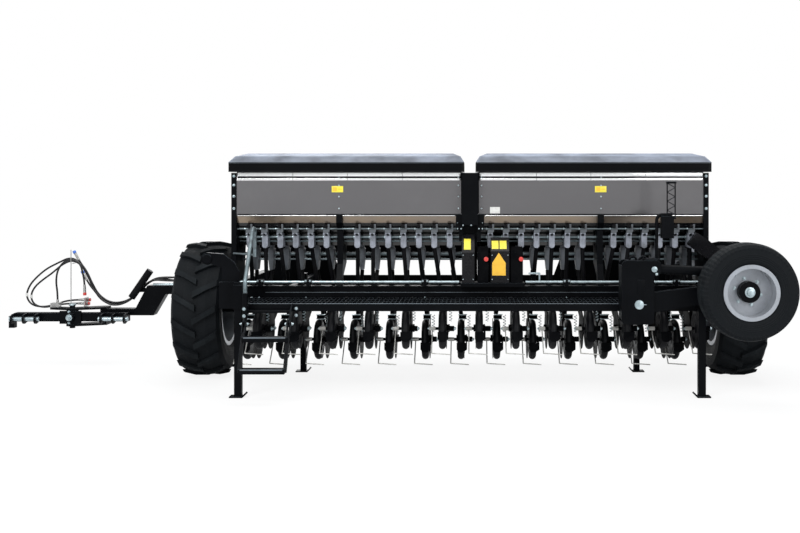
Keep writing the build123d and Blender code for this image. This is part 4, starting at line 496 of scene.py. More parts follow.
# plain finishes: the material's name, its colour, where it is worn, roughness of both, and the rest
PLAIN_FINISHES = {
    "gloss": ("gloss_cover", "plastic", (0.006, 0.006, 0.0075), (0.20, 0.34),
              dict(specular=0.16, dust=(6.0, 0.04), grain=(500.0, 0.02))),
    "zinc": ("zinc_plate", "zinc", "zinc_dull", (0.28, 0.5),
             dict(metallic=0.9, wear=30.0, dust=(20.0, 0.12), grain=(700.0, 0.08))),
    "dark_zinc": ("weathered_plate", "zinc_dull", (0.035, 0.04, 0.045), (0.38, 0.6),
                  dict(metallic=0.75, wear=9.0, dust=(14.0, 0.16), grain=(500.0, 0.1))),
    "tine": ("tine_wire", (0.50, 0.50, 0.48), (0.26, 0.255, 0.24), (0.4, 0.6),
             dict(metallic=0.7, wear=12.0, grain=(500.0, 0.1))),
    # painted shade: the metering casting made darker for the front units
    "front_unit": ("front_unit_casting", (0.105, 0.118, 0.135), (0.060, 0.066, 0.075), (0.48, 0.7),
                   dict(metallic=0.25, wear=11.0, dust=(16.0, 0.35), grain=(380.0, 0.2))),
    "plastic": ("matt_plastic", "plastic", (0.008, 0.008, 0.009), (0.48, 0.66),
                dict(specular=0.05, dust=(6.0, 0.008), grain=(320.0, 0.12))),
    "cast": ("black_casting", (0.0020, 0.0022, 0.0028), (0.0048, 0.0050, 0.0056), (0.55, 0.75),
             dict(specular=0.012, wear=12.0, dust=(6.0, 0.008), grain=(260.0, 0.35))),
    "disc": ("disc_steel", "disc", (0.0085, 0.0080, 0.0076), (0.42, 0.66),
             dict(specular=0.02, wear=9.0, dust=(6.0, 0.008), grain=(200.0, 0.12))),
    "press": ("press_rubber", (0.0032, 0.0036, 0.0050), (0.0062, 0.0064, 0.0074), (0.36, 0.6),
              dict(specular=0.12, wear=8.0, dust=(6.0, 0.015), grain=(280.0, 0.2))),
    "hose": ("hose_rubber", (0.004, 0.004, 0.005), (0.01, 0.01, 0.011), (0.35, 0.55),
             dict(specular=0.25, dust=(6.0, 0.05), grain=(600.0, 0.15))),
    "chrome": ("polished_rod", (0.62, 0.62, 0.64), (0.45, 0.44, 0.43), (0.08, 0.2),
               dict(metallic=1.0, dust=(6.0, 0.08), grain=(500.0, 0.02))),
    "coupler": ("coupler_plate", (0.42, 0.42, 0.41), (0.2, 0.2, 0.2), (0.28, 0.45),
                dict(metallic=0.9, wear=25.0, grain=(700.0, 0.1))),
    # the bright trim, and the painted highlight line under the hopper sheet
    "bright": ("bright_strip", (0.86, 0.87, 0.88), (0.74, 0.74, 0.74), (0.16, 0.3),
               dict(metallic=0.85, wear=1.5, dust=(6.0, 0.05), grain=(260.0, 0.02), stretch=0.04)),
    "pale": ("pale_clip", (0.62, 0.62, 0.60), (0.4, 0.4, 0.38), (0.4, 0.6),
             dict(wear=20.0, dust=(6.0, 0.2), grain=(500.0, 0.03))),
    # painted highlight: light lines on the lids, the footboard and the ladder
    "edge": ("light_edge", "edge", (0.05, 0.055, 0.06), (0.35, 0.5),
             dict(specular=0.3, wear=6.0, dust=(6.0, 0.05), grain=(500.0, 0.03))),
}
# bright plastic and labels, by their colour's setting: the material's name and where it is worn
COLOUR_FINISHES = {
    "yellow": ("label_yellow", (0.62, 0.52, 0.04)),
    "orange": ("label_orange", (0.66, 0.36, 0.03)),
    "red": ("cap_red", (0.42, 0.03, 0.025)),
    "blue": ("cap_blue", (0.02, 0.09, 0.36)),
}
MATERIALS = {}


def make_materials():
    """Every finish of the drill, by name."""
    MATERIALS.update(paint=paint_surface(), lid=lid_surface(), unit=unit_surface(), sheet=panel_surface())
    for finish, (*row, more) in PLAIN_FINISHES.items():
        MATERIALS[finish] = surface(*row, **more)
    for finish, (name, worn) in COLOUR_FINISHES.items():
        MATERIALS[finish] = surface(name, finish, worn, (0.35, 0.5), wear=20.0, dust=(6.0, 0.12),
                                    grain=(500.0, 0.03))
    for kind, word, _, centre, out in wheels():
        for piece, maker in (("tyre", tyre_surface), ("rim", rim_surface)):
            name = f"{kind}_{piece}_{word}"
            MATERIALS[name] = maker(name, kind, centre, out)
            NODE_FINISHES[name] = name.replace("road", "transport")


# nodes of the frame that take each finish; make_materials adds the wheels
NODE_FINISHES = {
    "paint": "side_beams inner_beams front_beam opener_beam rear_beam footboard ladder hopper_posts "
             "transport_carriers drawbar hitch_bar transport_arm_rear transport_arm_front tool_rack "
             "lock_hook cylinder_barrel_rear cylinder_barrel_front leg_front_left leg_front_right "
             "leg_rear_left leg_rear_right",
    "gloss": "drive_covers side_box",
    "lid": "lid_left lid_right",
    "zinc": "setting_shaft carrier_pins link_pins",
    "dark_zinc": "handrail metering_shafts",
    "tine": "harrow_tines",
    "unit": "metering_rear",
    "front_unit": "metering_front",
    "plastic": "seed_tubes document_tube",
    "cast": "gearboxes opener_arms seed_boots press_carriers",
    "disc": "opener_discs",
    "press": "press_wheels",
    "chrome": "cylinder_rod_rear cylinder_rod_front",
    "coupler": "couplers hose_stand",
    "sheet": "hopper_left hopper_right",
}


# ------------ shapes
def new_meshes(count):
    """Empty meshes for some pieces."""
    return [bmesh.new() for _ in range(count)]


def soften(bm, edges, round_off):
    """Round some edges off."""
    bmesh.ops.bevel(bm, geom=edges, offset=round_off, segments=2, profile=0.5, affect="EDGES", material=-1)


def add_block(bm, low, high, round_off=0.0):
    """A rectangular block between two corners, with its edges rounded off."""
    low, high = Vector(low), Vector(high)
    made = bmesh.ops.create_cube(bm, size=1.0)["verts"]
    bmesh.ops.scale(bm, vec=[abs(a) for a in high - low], verts=made)
    bmesh.ops.translate(bm, vec=(low + high) / 2, verts=made)
    if round_off:
        soften(bm, list({e for v in made for e in v.link_edges}), round_off)


def add_blocks(rows, side=1):
    """Blocks from rows: the mesh, two places across, two in depth, two in height and the rounding."""
    for bm, x0, x1, y0, y1, z0, z1, round_off in rows:
        add_block(bm, place(side * x0, y0, z0), place(side * x1, y1, z1), round_off)


def add_drum(bm, start, end, radius, sides=20, tip=None, round_off=0.0):
    """A round or six-sided bar between two points, with its rims rounded off."""
    start, end = Vector(start), Vector(end)
    along = end - start
    turn = along.to_track_quat("Z", "Y").to_matrix().to_4x4()
    made = bmesh.ops.create_cone(bm, cap_ends=True, cap_tris=False, segments=sides, radius1=radius,
                                 radius2=radius if tip is None else tip, depth=along.length,
                                 matrix=Matrix.Translation((start + end) / 2) @ turn)["verts"]
    if round_off:
        rims = [e for e in {e for v in made for e in v.link_edges}
                if abs((e.verts[0].co - e.verts[1].co).normalized().dot(along.normalized())) < 0.5]
        soften(bm, rims, round_off)


def add_plate(bm, corners, out):
    """A thin flat plate on a face: its outline and how far it stands out."""
    face = bm.faces.new([bm.verts.new(corner - out * 0.3) for corner in corners])
    made = bmesh.ops.extrude_face_region(bm, geom=[face])["geom"]
    bmesh.ops.translate(bm, vec=out * 1.3, verts=[g for g in made if isinstance(g, bmesh.types.BMVert)])


def add_rivet(bm, at, out, radius):
    """A domed head on a face, which looks along out."""
    at, out = Vector(at), Vector(out)
    made = bmesh.ops.create_uvsphere(bm, u_segments=10, v_segments=6, radius=radius)["verts"]
    turn = out.to_track_quat("Z", "Y").to_matrix().to_4x4()
    bmesh.ops.scale(bm, vec=(1, 1, 0.55), verts=made)
    bmesh.ops.transform(bm, matrix=Matrix.Translation(at) @ turn, verts=made)


def add_bolt(bm, at, out, radius):
    """A washer, a hexagon head and the end of its thread."""
    at, out = Vector(at), Vector(out)
    add_drum(bm, at - out * 0.001, at + out * radius * 0.22, radius * 1.35, sides=16)
    add_drum(bm, at + out * radius * 0.22, at + out * radius * 0.95, radius, sides=6, round_off=radius * 0.08)
    add_drum(bm, at + out * radius * 0.95, at + out * radius * 1.35, radius * 0.55, sides=10)


def add_ring(bm, centre, axis, radius, thick, turns=20, sides=6):
    """A round bar bent into a ring."""
    axis = Vector(axis).normalized()
    side = axis.orthogonal().normalized()
    made = bmesh.ops.create_circle(bm, cap_ends=False, segments=sides, radius=thick)["verts"]
    turn = side.cross(axis).to_track_quat("Z", "Y").to_matrix().to_4x4()
    bmesh.ops.transform(bm, matrix=Matrix.Translation(Vector(centre) + side * radius) @ turn, verts=made)
    edges = list({e for v in made for e in v.link_edges})
    bmesh.ops.spin(bm, geom=made + edges, cent=centre, axis=axis, angle=2 * pi, steps=turns,
                   use_merge=True, use_duplicate=False)


def add_spring(bm, start, end, radius, wire, turns=6, chords=7):
    """A coil spring between two points, from short straight bars."""
    along = end - start
    across = along.orthogonal().normalized() * radius
    behind = along.normalized().cross(across)
    steps = turns * chords
    points = []
    for n in range(steps + 1):
        angle = 2 * pi * n / chords
        points.append(start + along * n / steps + across * cos(angle) + behind * sin(angle))
    for first, second in zip(points, points[1:]):
        add_drum(bm, first, second, wire, sides=5)


def add_bolts(bm, places, out, radius):
    """Bolts at places of the machine, which look along out."""
    for at in places:
        add_bolt(bm, place(*at), out, radius)


def add_object(name, data):
    """A new object in the scene."""
    made = bpy.data.objects.new(name, data)
    bpy.context.scene.collection.objects.link(made)
    return made


def mesh_object(name, bm):
    """A bmesh turned into an object."""
    mesh = bpy.data.meshes.new(name)
    bm.to_mesh(mesh)
    bm.free()
    return add_object(name, mesh)


def finish_piece(name, bm, material, body="frame"):
    """Turn a bmesh into a piece that rides on a body."""
    bmesh.ops.remove_doubles(bm, verts=bm.verts, dist=0.00002)
    bmesh.ops.recalc_face_normals(bm, faces=bm.faces)
    piece = mesh_object(name, bm)
    mesh = piece.data
    mesh.materials.append(MATERIALS[material])
    mesh.polygons.foreach_set("use_smooth", [True] * len(mesh.polygons))
    mesh.set_sharp_from_angle(angle=radians(38))
    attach(piece, body)
    return piece


def finish_zinc(name, bm, body="frame"):
    """Turn a bmesh into a piece of zinc-plated steel."""
    finish_piece(name, bm, "zinc", body)


# ------------ camera and hoses
class SEEDDRILL_OT_camera(bpy.types.Operator):
    """Place the camera behind the drill, a little left of its middle."""

    bl_idname = "seeddrill.camera"
    bl_label = "Camera"

    def execute(self, context):
        data = bpy.data.cameras.new("camera")
        data.sensor_width = 36.0
        data.lens = context.scene.drill_sizes.lens
        data.shift_x = -0.0875
        data.shift_y = -0.0956
        data.clip_end = 200.0
        camera = add_object("camera", data)
        camera.location = place(0.0, -9.240, 1.622)
        camera.rotation_euler = (pi / 2, 0.0, 0.0)
        context.scene.camera = camera
        return {"FINISHED"}


class SEEDDRILL_OT_hoses(bpy.types.Operator):
    """Hydraulic hoses from the front beam over their stand to the hitch."""

    bl_idname = "seeddrill.hoses"
    bl_label = "Hoses"

    def execute(self, context):
        radius = context.scene.drill_sizes.hose
        for word, (lane, cap, stations) in HOSES.items():
            name = f"{word}_hose"
            points = [place(x, lane, z) for x, z in stations]
            hose, spline, line = self.route(name, points, radius)
            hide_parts(f"hose_{word}")
            along = (points[-1] - points[-2]).normalized()
            if cap:
                bm = bmesh.new()
                tip = points[-1] + along * 0.046
                add_drum(bm, tip - along * 0.002, tip + along * 0.0245, 0.0155, sides=20, round_off=0.002)
                add_ring(bm, tip + along * 0.004, along, 0.0150, 0.0015)
                finish_piece(f"{name}_cap", bm, cap)
            bm = bmesh.new()
            for end, way in ((points[0], (points[1] - points[0]).normalized()), (points[-1], -along)):
                add_drum(bm, end, end + way * 0.030, radius + 0.003, sides=16, round_off=0.001)
                add_drum(bm, end, end + way * 0.010, radius + 0.0045, sides=6)
            finish_piece(f"{name}_ferrules", bm, "coupler")
            if not cap:
                # a pale sleeve where the hose hangs furthest out
                far = min(range(1, len(line) - 1), key=lambda n: line[n].x)
                half = (line[far + 1] - line[far - 1]).normalized() * 0.016
                bm = bmesh.new()
                add_drum(bm, line[far] - half, line[far] + half, radius + 0.0035, sides=16, round_off=0.001)
                finish_piece(f"{name}_tag", bm, "pale")
        return {"FINISHED"}

    def route(self, name, points, radius):
        """One hose along its points, its spline, and points that lie on its middle line."""
        data = bpy.data.curves.new(name, "CURVE")
        data.dimensions = "3D"
        data.bevel_resolution = 5
        data.resolution_u = 10
        data.use_fill_caps = True
        spline = data.splines.new("NURBS")
        spline.points.add(len(points) - 1)
        for knot, point in zip(spline.points, points):
            knot.co = (*point, 1.0)
        spline.order_u = 3
        spline.use_endpoint_u = True
        hose = add_object(name, data)
        track = bpy.data.meshes.new_from_object(hose)
        line = [vertex.co.copy() for vertex in track.vertices]
        bpy.data.meshes.remove(track)
        data.bevel_depth = radius
        data.materials.append(MATERIALS["hose"])
        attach(hose, "frame")
        return hose, spline, line


# ------------ finishes of the nodes
class SEEDDRILL_OT_finishes(bpy.types.Operator):
    """Give every node of the frame its finish."""

    bl_idname = "seeddrill.finishes"
    bl_label = "Finishes"

    def execute(self, context):
        for finish, nodes in NODE_FINISHES.items():
            for name in nodes.split():
                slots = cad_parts[name].material_slots
                if not slots:
                    raise RuntimeError(f"{name} has no material slot")
                for slot in slots:
                    slot.material = MATERIALS[finish]
        return {"FINISHED"}


# ------------ hoppers and lids
class SEEDDRILL_OT_hopper_trim(bpy.types.Operator):
    """Bright trim, a painted highlight line, seam bars, painted shade in gaps, rivets, brackets and bare
    labels on the backs of the hoppers.
    """

    bl_idname = "seeddrill.hopper_trim"
    bl_label = "Hopper trim"

    def execute(self, context):
        rivet = context.scene.drill_sizes.rivet
        strips_and_highlight_line, seams_and_gap_shade, rivets, labels, bare, marks = new_meshes(6)
        # feet and heads of the lower and the upper bright strip
        low, low_head, high, high_head = 1.7035, 1.7215, 1.7355, 1.7705
        add_blocks((seams_and_gap_shade, x - 0.0015, x + 0.0015, -0.4750, SHEET_Y, low, high_head, 0)
                   for x in (-1.480, -1.023, -0.565, 0.556, 1.009, 1.467))
        for side, _ in SIDES:
            add_blocks([
                (strips_and_highlight_line, 0.080, 1.940, -0.4730, SHEET_Y, high, high_head, 0.001),
                (strips_and_highlight_line, 0.080, 1.940, -0.4745, SHEET_Y, low, low_head, 0.001),
                # painted highlight: a thin bright line under the sheet, above the painted ground reflection
                (strips_and_highlight_line, 0.080, 1.940, -0.4735, -0.4660, 1.4060, 1.4105, 0.001),
                (seams_and_gap_shade, 0.080, 1.940, -0.4800, SHEET_Y, low_head, high, 0.002),
                # painted shade: a dark bar in the gap under the sheet
                (seams_and_gap_shade, 0.080, 1.940, -0.4760, SHEET_Y, 1.4140, 1.4225, 0.002),
                # dark fill in the slit beside the column: a bracket there, with the shade in the slit painted
                # in
                (seams_and_gap_shade, 0.060, 0.081, -0.4695, -0.4665, 1.4225, high_head, 0),
                (seams_and_gap_shade, 0.058, 0.118, -0.5000, -0.4940, 1.2850, 1.4030, 0.001),
                # dark fill in the lower slit beside the column: a bracket there, with the shade in the slit
                # painted in
                (seams_and_gap_shade, 0.058, 0.092, -0.4695, -0.4665, 1.1950, 1.2900, 0)], side)
            for x in (side * 1.094, side * 0.096):
                for z in (1.660, 1.567, 1.467):
                    add_rivet(rivets, place(x, -0.4712, z), BACK, rivet)
                add_rivet(rivets, place(x, -0.4802, 1.7285), BACK, rivet * 0.8)
            post = [(side * 1.970, -0.4802, z) for z in (1.738, 1.663, 1.570, 1.468)]
            add_bolts(rivets, post, BACK, 0.0085)
            brackets = ((0.104, 1.392), (0.104, 1.352), (0.074, 1.300), (0.104, 1.300))
            add_bolts(rivets, [(side * x, -0.5002, z) for x, z in brackets], BACK, 0.0045)
        add_bolts(rivets, ((-0.058, -0.5352, 1.330), (0.010, -0.5352, 1.330)), BACK, 0.0045)
        for x in (-1.1075, 1.0915):
            add_blocks([(labels, x - 0.048, x + 0.048, -0.4712, SHEET_Y, 1.603, 1.655, 0.0004)])
        add_blocks([(bare, 0.167, 0.250, -0.4712, SHEET_Y, 1.427, 1.480, 0.0004)])
        for x in (-1.128, 1.071):
            add_blocks([(marks, x - 0.016, x + 0.016, -0.4716, -0.4711, 1.612, 1.646, 0),
                        (marks, x + 0.026, x + 0.058, -0.4716, -0.4711, 1.626, 1.632, 0)])
        finish_piece("hopper_bright_strips", strips_and_highlight_line, "bright")
        finish_piece("hopper_seams", seams_and_gap_shade, "paint")
        finish_zinc("hopper_rivets", rivets)
        finish_piece("hopper_labels", labels, "yellow")
        finish_piece("bare_label", bare, "pale")
        finish_piece("label_fields", marks, "orange")
        return {"FINISHED"}


class SEEDDRILL_OT_lid_trim(bpy.types.Operator):
    """Beads along the lower rims of the lids, and painted highlight lines on their backs."""

    bl_idname = "seeddrill.lid_trim"
    bl_label = "Lid trim"

    def execute(self, context):
        for _, word in SIDES:
            lid = f"lid_{word}"
            low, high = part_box(lid)
            bead, line = new_meshes(2)
            add_block(bead, (low.x + 0.012, low.y - 0.0015, low.z + 0.002),
                      (high.x - 0.012, low.y + 0.006, low.z + 0.010), 0.0015)
            # painted highlight: a thin light line across the back of the lid
            add_block(line, (low.x + 0.010, low.y - 0.0012, 1.8455),
                      (high.x - 0.010, low.y + 0.002, 1.8485), 0.0005)
            finish_piece(f"lid_bead_{word}", bead, "plastic", lid)
            finish_piece(f"lid_line_{word}", line, "edge", lid)
        return {"FINISHED"}


# ------------ metering and drive
class SEEDDRILL_OT_metering_trim(bpy.types.Operator):
    """Gate knobs, screws, clips and collars of the metering units."""

    bl_idname = "seeddrill.metering_trim"
    bl_label = "Metering trim"

    def execute(self, context):
        knob = context.scene.drill_sizes.knob
        knobs, screws = new_meshes(2)
        for x in unit_places():
            add_drum(knobs, place(x - 0.002, -0.4565, 1.319), place(x - 0.002, -0.474, 1.319), knob, sides=14,
                     tip=knob * 0.86, round_off=0.003)
            add_blocks([(knobs, x - 0.012, x + 0.012, -0.4212, -0.4195, 1.238, 1.251, 0.002)])
            for across in (-0.014, 0.014):
                add_rivet(screws, place(x + across, -0.421, 1.268), BACK, 0.0045)
            for y, z, radius in ((-0.4405, 1.297, 0.0105), (-0.3655, 1.225, 0.0185)):
                add_drum(screws, place(x - 0.036, y, z), place(x - 0.028, y, z), radius, sides=12)
        finish_piece("gate_knobs", knobs, "plastic")
        finish_zinc("metering_screws", screws)
        return {"FINISHED"}


class SEEDDRILL_OT_drive_trim(bpy.types.Operator):
    """Bare labels, a plain sign, red knobs, screws and guard plates of the drive covers; the guard plates
    also paint the shade in the gaps beside the gearboxes.
    """

    bl_idname = "seeddrill.drive_trim"
    bl_label = "Drive trim"

    def execute(self, context):
        labels, sign, knobs, screws, guards_and_gap_shade = new_meshes(5)
        # labels on the covers' sloped tops: ends across, and foot and head of the slope
        for x0, x1, low, high in ((-0.050, 0.006, 1.107, 1.249), (0.180, 0.236, 1.118, 1.225),
                                  (0.245, 0.303, 1.118, 1.225)):
            slope = Vector((0, 0.115, high - low))
            corners = [Vector((x, COVER_Y, low)) + slope * share
                       for x, share in ((x0, 0.16), (x1, 0.16), (x1, 0.76), (x0, 0.76))]
            out = slope.cross(RIGHT).normalized() * -0.0012
            add_plate(labels, [place(*corner) for corner in corners], out)
        outline = ((0.183, 0.918), (0.294, 0.918), (0.294, 1.021), (0.2375, 1.105), (0.183, 1.021))
        add_plate(sign, [place(x, COVER_Y, z) for x, z in outline], BACK * 0.0012)
        for x in (0.133, 0.421):
            add_drum(knobs, place(x, COVER_Y + 0.012, 1.052), place(x, COVER_Y - 0.008, 1.052), 0.019,
                     round_off=0.004)
        for x in (-0.057, 0.027, 0.182, 0.313):
            for z in (0.885, 1.085):
                add_rivet(screws, place(x, COVER_Y, z), BACK, 0.005)
        # dark plates in the gaps beside the gearboxes: chain guard plates, with the shade in those gaps
        # painted in
        add_blocks((guards_and_gap_shade, x0, x1, -0.520, -0.516, 0.8575, 1.100, 0.001)
                   for x0, x1 in ((0.152, 0.184), (0.311, 0.346)))
        finish_piece("drive_labels", labels, "yellow")
        finish_piece("drive_sign", sign, "orange")
        finish_piece("drive_knobs", knobs, "red")
        finish_zinc("drive_screws", screws)
        finish_piece("drive_guards", guards_and_gap_shade, "plastic")
        return {"FINISHED"}


# ------------ footboard, ladder, setting shaft
class SEEDDRILL_OT_walkway_trim(bpy.types.Operator):
    """Bolts of the ladder and the footboard, painted highlight lines along their lips and treads, and bolts
    of the setting shaft's clamps.
    """

    bl_idname = "seeddrill.walkway_trim"
    bl_label = "Walkway trim"

    def execute(self, context):
        bolt = context.scene.drill_sizes.bolt
        fixed, swung, lips, treads = new_meshes(4)
        add_bolts(fixed, [(-1.368, -0.9765, z) for z in (0.690, 0.636)], BACK, bolt * 0.8)
        add_bolts(fixed, [(-1.751, -1.1062, z) for z in (0.700, 0.646)], BACK, bolt * 0.8)
        add_bolts(fixed, [(x, -0.5295, 0.7292) for x in (-1.810, -1.750, -1.361, -0.376, 0.800, 1.700)], UP,
                  bolt * 0.5)
        add_bolts(fixed, [(x + across, -0.5852, 0.872) for x in (-1.733, -1.337, -0.371, 0.798, 1.704)
                          for across in (-0.018, 0.018)], BACK, 0.0065)
        for side, _ in SIDES:
            pins = [(x + side * 0.0225, -1.110, 0.585) for x in (-1.747, -1.401)]
            add_bolts(swung, pins, RIGHT * side, 0.010)
        # painted highlight: light lines along the footboard's lips and the ladder's treads
        add_blocks([(lips, -1.836, 1.762, -0.9712, -0.9680, 0.7245, 0.7297, 0.0006),
                    (lips, -1.700, 1.700, -0.5212, -0.5182, 0.7700, 0.7745, 0.0006)])
        add_blocks((treads, -1.734, -1.414, y, y + 0.004, z - 0.010, z + 0.0012, 0.0008)
                   for z, y in ((0.4952, -1.2122), (0.2708, -1.3376)))
        finish_zinc("walkway_bolts", fixed)
        finish_zinc("ladder_pins", swung, "ladder")
        finish_piece("walkway_edges", lips, "edge")
        finish_piece("ladder_edges", treads, "edge", "ladder")
        return {"FINISHED"}


# ------------ openers
class SEEDDRILL_OT_opener_trim(bpy.types.Operator):
    """Nuts, springs, depth boxes, step plates and press wheel rings of the openers."""

    bl_idname = "seeddrill.opener_trim"
    bl_label = "Opener trim"

    def execute(self, context):
        for word, (first, disc_y, disc_z, wheel_y, wheel_z) in OPENER_ROWS.items():
            nuts, grips, boxes, rings = new_meshes(4)
            y, low, high = wheel_y + 0.010, wheel_z + STEP_LOW, wheel_z + STEP_HIGH
            for x in row_places(first):
                hub = place(x + 0.051, disc_y, disc_z)
                add_bolt(nuts, place(x + 0.094, wheel_y, wheel_z), RIGHT, 0.013)
                add_bolt(nuts, place(x - 0.109, wheel_y, wheel_z), -RIGHT, 0.010)
                add_bolt(nuts, hub, RIGHT, 0.014)
                # three small bolts round the middle one
                for turn in (0.6, 2.7, 4.8):
                    add_bolt(nuts, hub + Vector((0, cos(turn), sin(turn))) * 0.024, RIGHT, 0.004)
                add_blocks([(grips, x - 0.024, x + 0.050, y - 0.030, y + 0.010, low, low + 0.005, 0.001),
                            (grips, x - 0.024, x + 0.050, y - 0.030, y + 0.010, high, high + 0.005, 0.001),
                            (boxes, x - 0.019, x + 0.044, y - 0.022, y + 0.010, low, high, 0.003)])
                add_spring(grips, place(x + 0.066, y - 0.016, wheel_z + 0.060),
                           place(x + 0.066, y - 0.016, high), 0.012, 0.0026)
                for across in (-0.0285, 0.0285):
                    add_ring(rings, place(x + across, wheel_y, wheel_z), RIGHT, 0.118, 0.003, turns=24)
            finish_zinc(f"opener_nuts_{word}", nuts)
            finish_zinc(f"depth_springs_{word}", grips)
            finish_piece(f"depth_boxes_{word}", boxes, "cast")
            finish_piece(f"press_wheel_rings_{word}", rings, "press")
        return {"FINISHED"}


# ------------ wheels
class SEEDDRILL_OT_wheel_trim(bpy.types.Operator):
    """Nuts, hub caps and valves of the wheels."""

    bl_idname = "seeddrill.wheel_trim"
    bl_label = "Wheel trim"

    def execute(self, context):
        for kind, word, body, centre, out in wheels():
            size = WHEEL_KINDS[kind]
            nuts = bmesh.new()
            for n in range(size.studs):
                turn = 2 * pi * n / size.studs + 0.25
                add_bolt(nuts, self.spot(centre, out, turn, size.circle, size.disc + 0.0065), out, 0.0105)
            cap = centre + out * size.cap_at
            lip = cap + out * 0.012
            add_drum(nuts, cap, lip, size.cap_r, sides=32, round_off=0.003)
            add_drum(nuts, lip, cap + out * 0.030, size.cap_r * 0.72, sides=28, tip=size.cap_r * 0.66,
                     round_off=0.004)
            valve, tip = [self.spot(centre, out, VALVE_TURN, size.circle + radius, size.disc + reach)
                          for radius, reach in ((0.055, 0.010), (0.050, 0.045))]
            add_drum(nuts, valve, tip, 0.004, sides=8)
            finish_zinc(f"wheel_nuts_{word}", nuts, body)
        return {"FINISHED"}

    def spot(self, centre, out, turn, radius, reach):
        """A point of a wheel: its turn, its distance from the axle and its place along it."""
        return centre + out * reach + (out.cross(UP) * cos(turn) + UP * sin(turn)) * radius


# ------------ transport gear
class SEEDDRILL_OT_carrier_trim(bpy.types.Operator):
    """Pin heads, a bolt, a cotter, a plain plate and lifting eyes of the wheel carriers."""

    bl_idname = "seeddrill.carrier_trim"
    bl_label = "Carrier trim"

    def execute(self, context):
        for out, word, back in ENDS:
            face = back + out * CARRIER_DEPTH
            outward = Vector((0, out, 0))
            heads, raised = new_meshes(2)
            for x, z, radius in CARRIER_PINS:
                for near, far, share, sides, round_off in ((0.0078, 0.0125, 1, 28, 0.002),
                                                           (0.0120, 0.0165, 0.45, 20, 0.001)):
                    add_drum(heads, place(x, face + out * near, z), place(x, face + out * far, z),
                             radius * share, sides=sides, round_off=round_off)
            add_bolt(heads, place(1.438, face, 0.975), outward, 0.008)
            cotter = face + out * 0.010
            add_drum(heads, place(1.320, cotter, 0.741), place(1.358, cotter, 0.739), 0.0028, sides=8)
            add_blocks([(raised, 1.288, 1.346, face, face + out * 0.004, 0.828, 0.930, 0.002)])
            for x in (1.268, 1.346):
                add_ring(raised, place(x, back + out * 0.083, 1.078), -BACK, 0.026, 0.009, sides=8)
            finish_zinc(f"carrier_pin_heads_{word}", heads)
            finish_piece(f"carrier_plate_{word}", raised, "paint")
        return {"FINISHED"}


# ------------ drawbar
class SEEDDRILL_OT_drawbar_trim(bpy.types.Operator):
    """Pins, bolts and the steel pipe of the drawbar, the hitch bar's bolts and the parked caps."""

    bl_idname = "seeddrill.drawbar_trim"
    bl_label = "Drawbar trim"

    def execute(self, context):
        fixed, turned, caps = new_meshes(3)
        add_drum(fixed, place(HITCH_X, 0.600, 0.5405), place(HITCH_X, 0.600, 0.556), 0.034, sides=28,
                 round_off=0.003)
        add_bolts(fixed, [(x, 0.660, z) for x in (-2.62, -2.72) for z in (0.662, 0.698)], BACK, 0.013)
        add_drum(fixed, place(-2.990, 0.668, 0.7315), place(-2.665, 0.668, 0.7315), 0.011, sides=16,
                 round_off=0.002)
        add_drum(turned, place(HITCH_X, 0.515, 0.435), place(HITCH_X, 0.506, 0.435), 0.030, sides=28,
                 round_off=0.002)
        add_bolts(turned, ((HITCH_X, 0.506, 0.435),), BACK, 0.020)
        add_bolts(turned, ((-3.738, 0.545, 0.384), (-3.738, 0.545, 0.486)), BACK, 0.009)
        for side, _ in SIDES:
            for end in (-1, 1):
                tip = HITCH_X + side * LINK_OUT + end * LINK_HALF
                inner, outer = place(tip - end * 0.001, 0.505, 0.425), place(tip + end * 0.007, 0.505, 0.425)
                add_drum(turned, inner, outer, 0.0215, sides=24, round_off=0.001)
        for word in ("outer", "inner"):
            lane, _, stations = HOSES[word]
            z = stations[-1][1]
            add_drum(caps, place(-3.622, lane, z), place(-3.6065, lane, z), 0.0158, round_off=0.002)
        finish_zinc("drawbar_pins", fixed)
        finish_zinc("hitch_bolts", turned, "hitch")
        finish_piece("parked_caps", caps, "red")
        return {"FINISHED"}


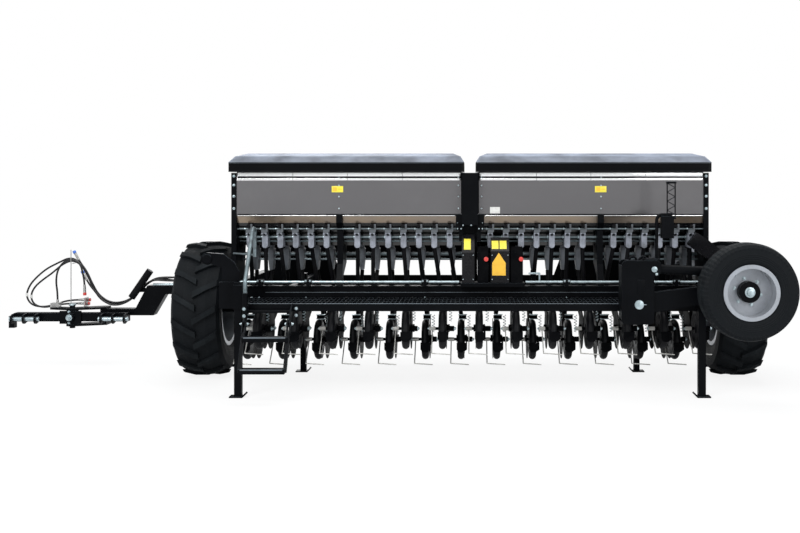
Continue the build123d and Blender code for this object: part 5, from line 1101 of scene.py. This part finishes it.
# ------------ studio
class SEEDDRILL_OT_studio(bpy.types.Operator):
    """Pale floor, white surroundings and soft lights."""

    bl_idname = "seeddrill.studio"
    bl_label = "Studio"

    def execute(self, context):
        self.floor(context)
        self.surroundings(context)
        for name, spot, aim, size, power in (
                ("key_light", (-4.5, -8.5, 7.5), (0, 0, 0.9), 5.0, 900.0),
                ("fill_light", (6.5, -8.0, 4.5), (1.0, 0, 0.8), 5.0, 420.0),
                ("top_light", (0.5, 1.0, 8.5), (0.5, 0, 0.8), 7.0, 700.0),
                ("back_light", (-3.0, 9.0, 5.0), (0, 0, 0.8), 5.0, 350.0)):
            data = bpy.data.lights.new(name, "AREA")
            data.size = size
            data.energy = power
            light = add_object(name, data)
            light.location = place(*spot)
            light.rotation_euler = (place(*aim) - light.location).to_track_quat("-Z", "Y").to_euler()
        return {"FINISHED"}

    def floor(self, context):
        """Pale floor, nearly white to the camera, that keeps a soft shadow."""
        bm = bmesh.new()
        bmesh.ops.create_grid(bm, x_segments=1, y_segments=1, size=context.scene.drill_sizes.floor / 2)
        floor = mesh_object("floor", bm)
        material = bpy.data.materials.new("studio_floor")
        tree = empty_tree(material)
        reach = reach_of(tree, add_node(tree, "TexCoord").outputs["Object"])
        seen = add_node(tree, "LightPath").outputs["Is Camera Ray"]
        glowing = spread(tree, reach, 3.5, 8.0, 0.86, 1.0)
        matt = add_node(tree, "BsdfDiffuse", {"Color": (0.80, 0.80, 0.80, 1)})
        glow = add_node(tree, "Emission", {"Color": (1, 1, 1, 1)})
        self.show(tree, "OutputMaterial", product(tree, seen, glowing), matt, glow)
        floor.data.materials.append(material)

    def surroundings(self, context):
        """White to the camera and to gloss, soft grey for light."""
        world = bpy.data.worlds.new("studio_world")
        context.scene.world = world
        tree = empty_tree(world)
        path = add_node(tree, "LightPath").outputs
        seen = maths(tree, "MAXIMUM", path["Is Camera Ray"],
                     maths(tree, "MAXIMUM", path["Is Glossy Ray"], path["Is Transmission Ray"]))
        lit = add_node(tree, "Background", {"Color": (0.90, 0.95, 1.0, 1), "Strength": 0.45})
        white = add_node(tree, "Background", {"Color": (1, 1, 1, 1), "Strength": 1.0})
        self.show(tree, "OutputWorld", seen, lit, white)

    def show(self, tree, output, mask, first, second):
        """Two shaders mixed by a mask, and the output that shows them."""
        blend = add_node(tree, "MixShader", {0: mask, 1: first.outputs[0], 2: second.outputs[0]})
        add_node(tree, output, {0: blend.outputs[0]})


# ------------ panel and registration
STEPS = (SEEDDRILL_OT_camera, SEEDDRILL_OT_hoses, SEEDDRILL_OT_finishes, SEEDDRILL_OT_hopper_trim,
         SEEDDRILL_OT_lid_trim, SEEDDRILL_OT_metering_trim, SEEDDRILL_OT_drive_trim,
         SEEDDRILL_OT_walkway_trim, SEEDDRILL_OT_opener_trim, SEEDDRILL_OT_wheel_trim,
         SEEDDRILL_OT_carrier_trim, SEEDDRILL_OT_drawbar_trim, SEEDDRILL_OT_studio)


class SEEDDRILL_PT_steps(bpy.types.Panel):
    """The steps that dress the drill."""

    bl_label = "Seed drill"
    bl_idname = "SEEDDRILL_PT_steps"
    bl_space_type = "VIEW_3D"
    bl_region_type = "UI"
    bl_category = "Seed drill"

    def draw(self, context):
        for step in STEPS:
            self.layout.operator(step.bl_idname)
        for settings in (context.scene.drill_colours, context.scene.drill_sizes):
            for name in settings.__annotations__:
                self.layout.prop(settings, name)


CLASSES = (DrillColours, DrillSizes, *STEPS, SEEDDRILL_PT_steps)


def register():
    """Make the settings, steps and panel known."""
    for cls in CLASSES:
        bpy.utils.register_class(cls)
    bpy.types.Scene.drill_colours = bpy.props.PointerProperty(type=DrillColours)
    bpy.types.Scene.drill_sizes = bpy.props.PointerProperty(type=DrillSizes)


def unregister():
    """Take them away again, in reverse."""
    del bpy.types.Scene.drill_sizes
    del bpy.types.Scene.drill_colours
    for cls in reversed(CLASSES):
        bpy.utils.unregister_class(cls)


def main():
    """Run every step in order."""
    register()
    bpy.context.scene.view_settings.view_transform = "Standard"
    make_materials()
    for step in STEPS:
        group, _, name = step.bl_idname.partition(".")
        getattr(getattr(bpy.ops, group), name)()


if __name__ == "__main__":
    main()
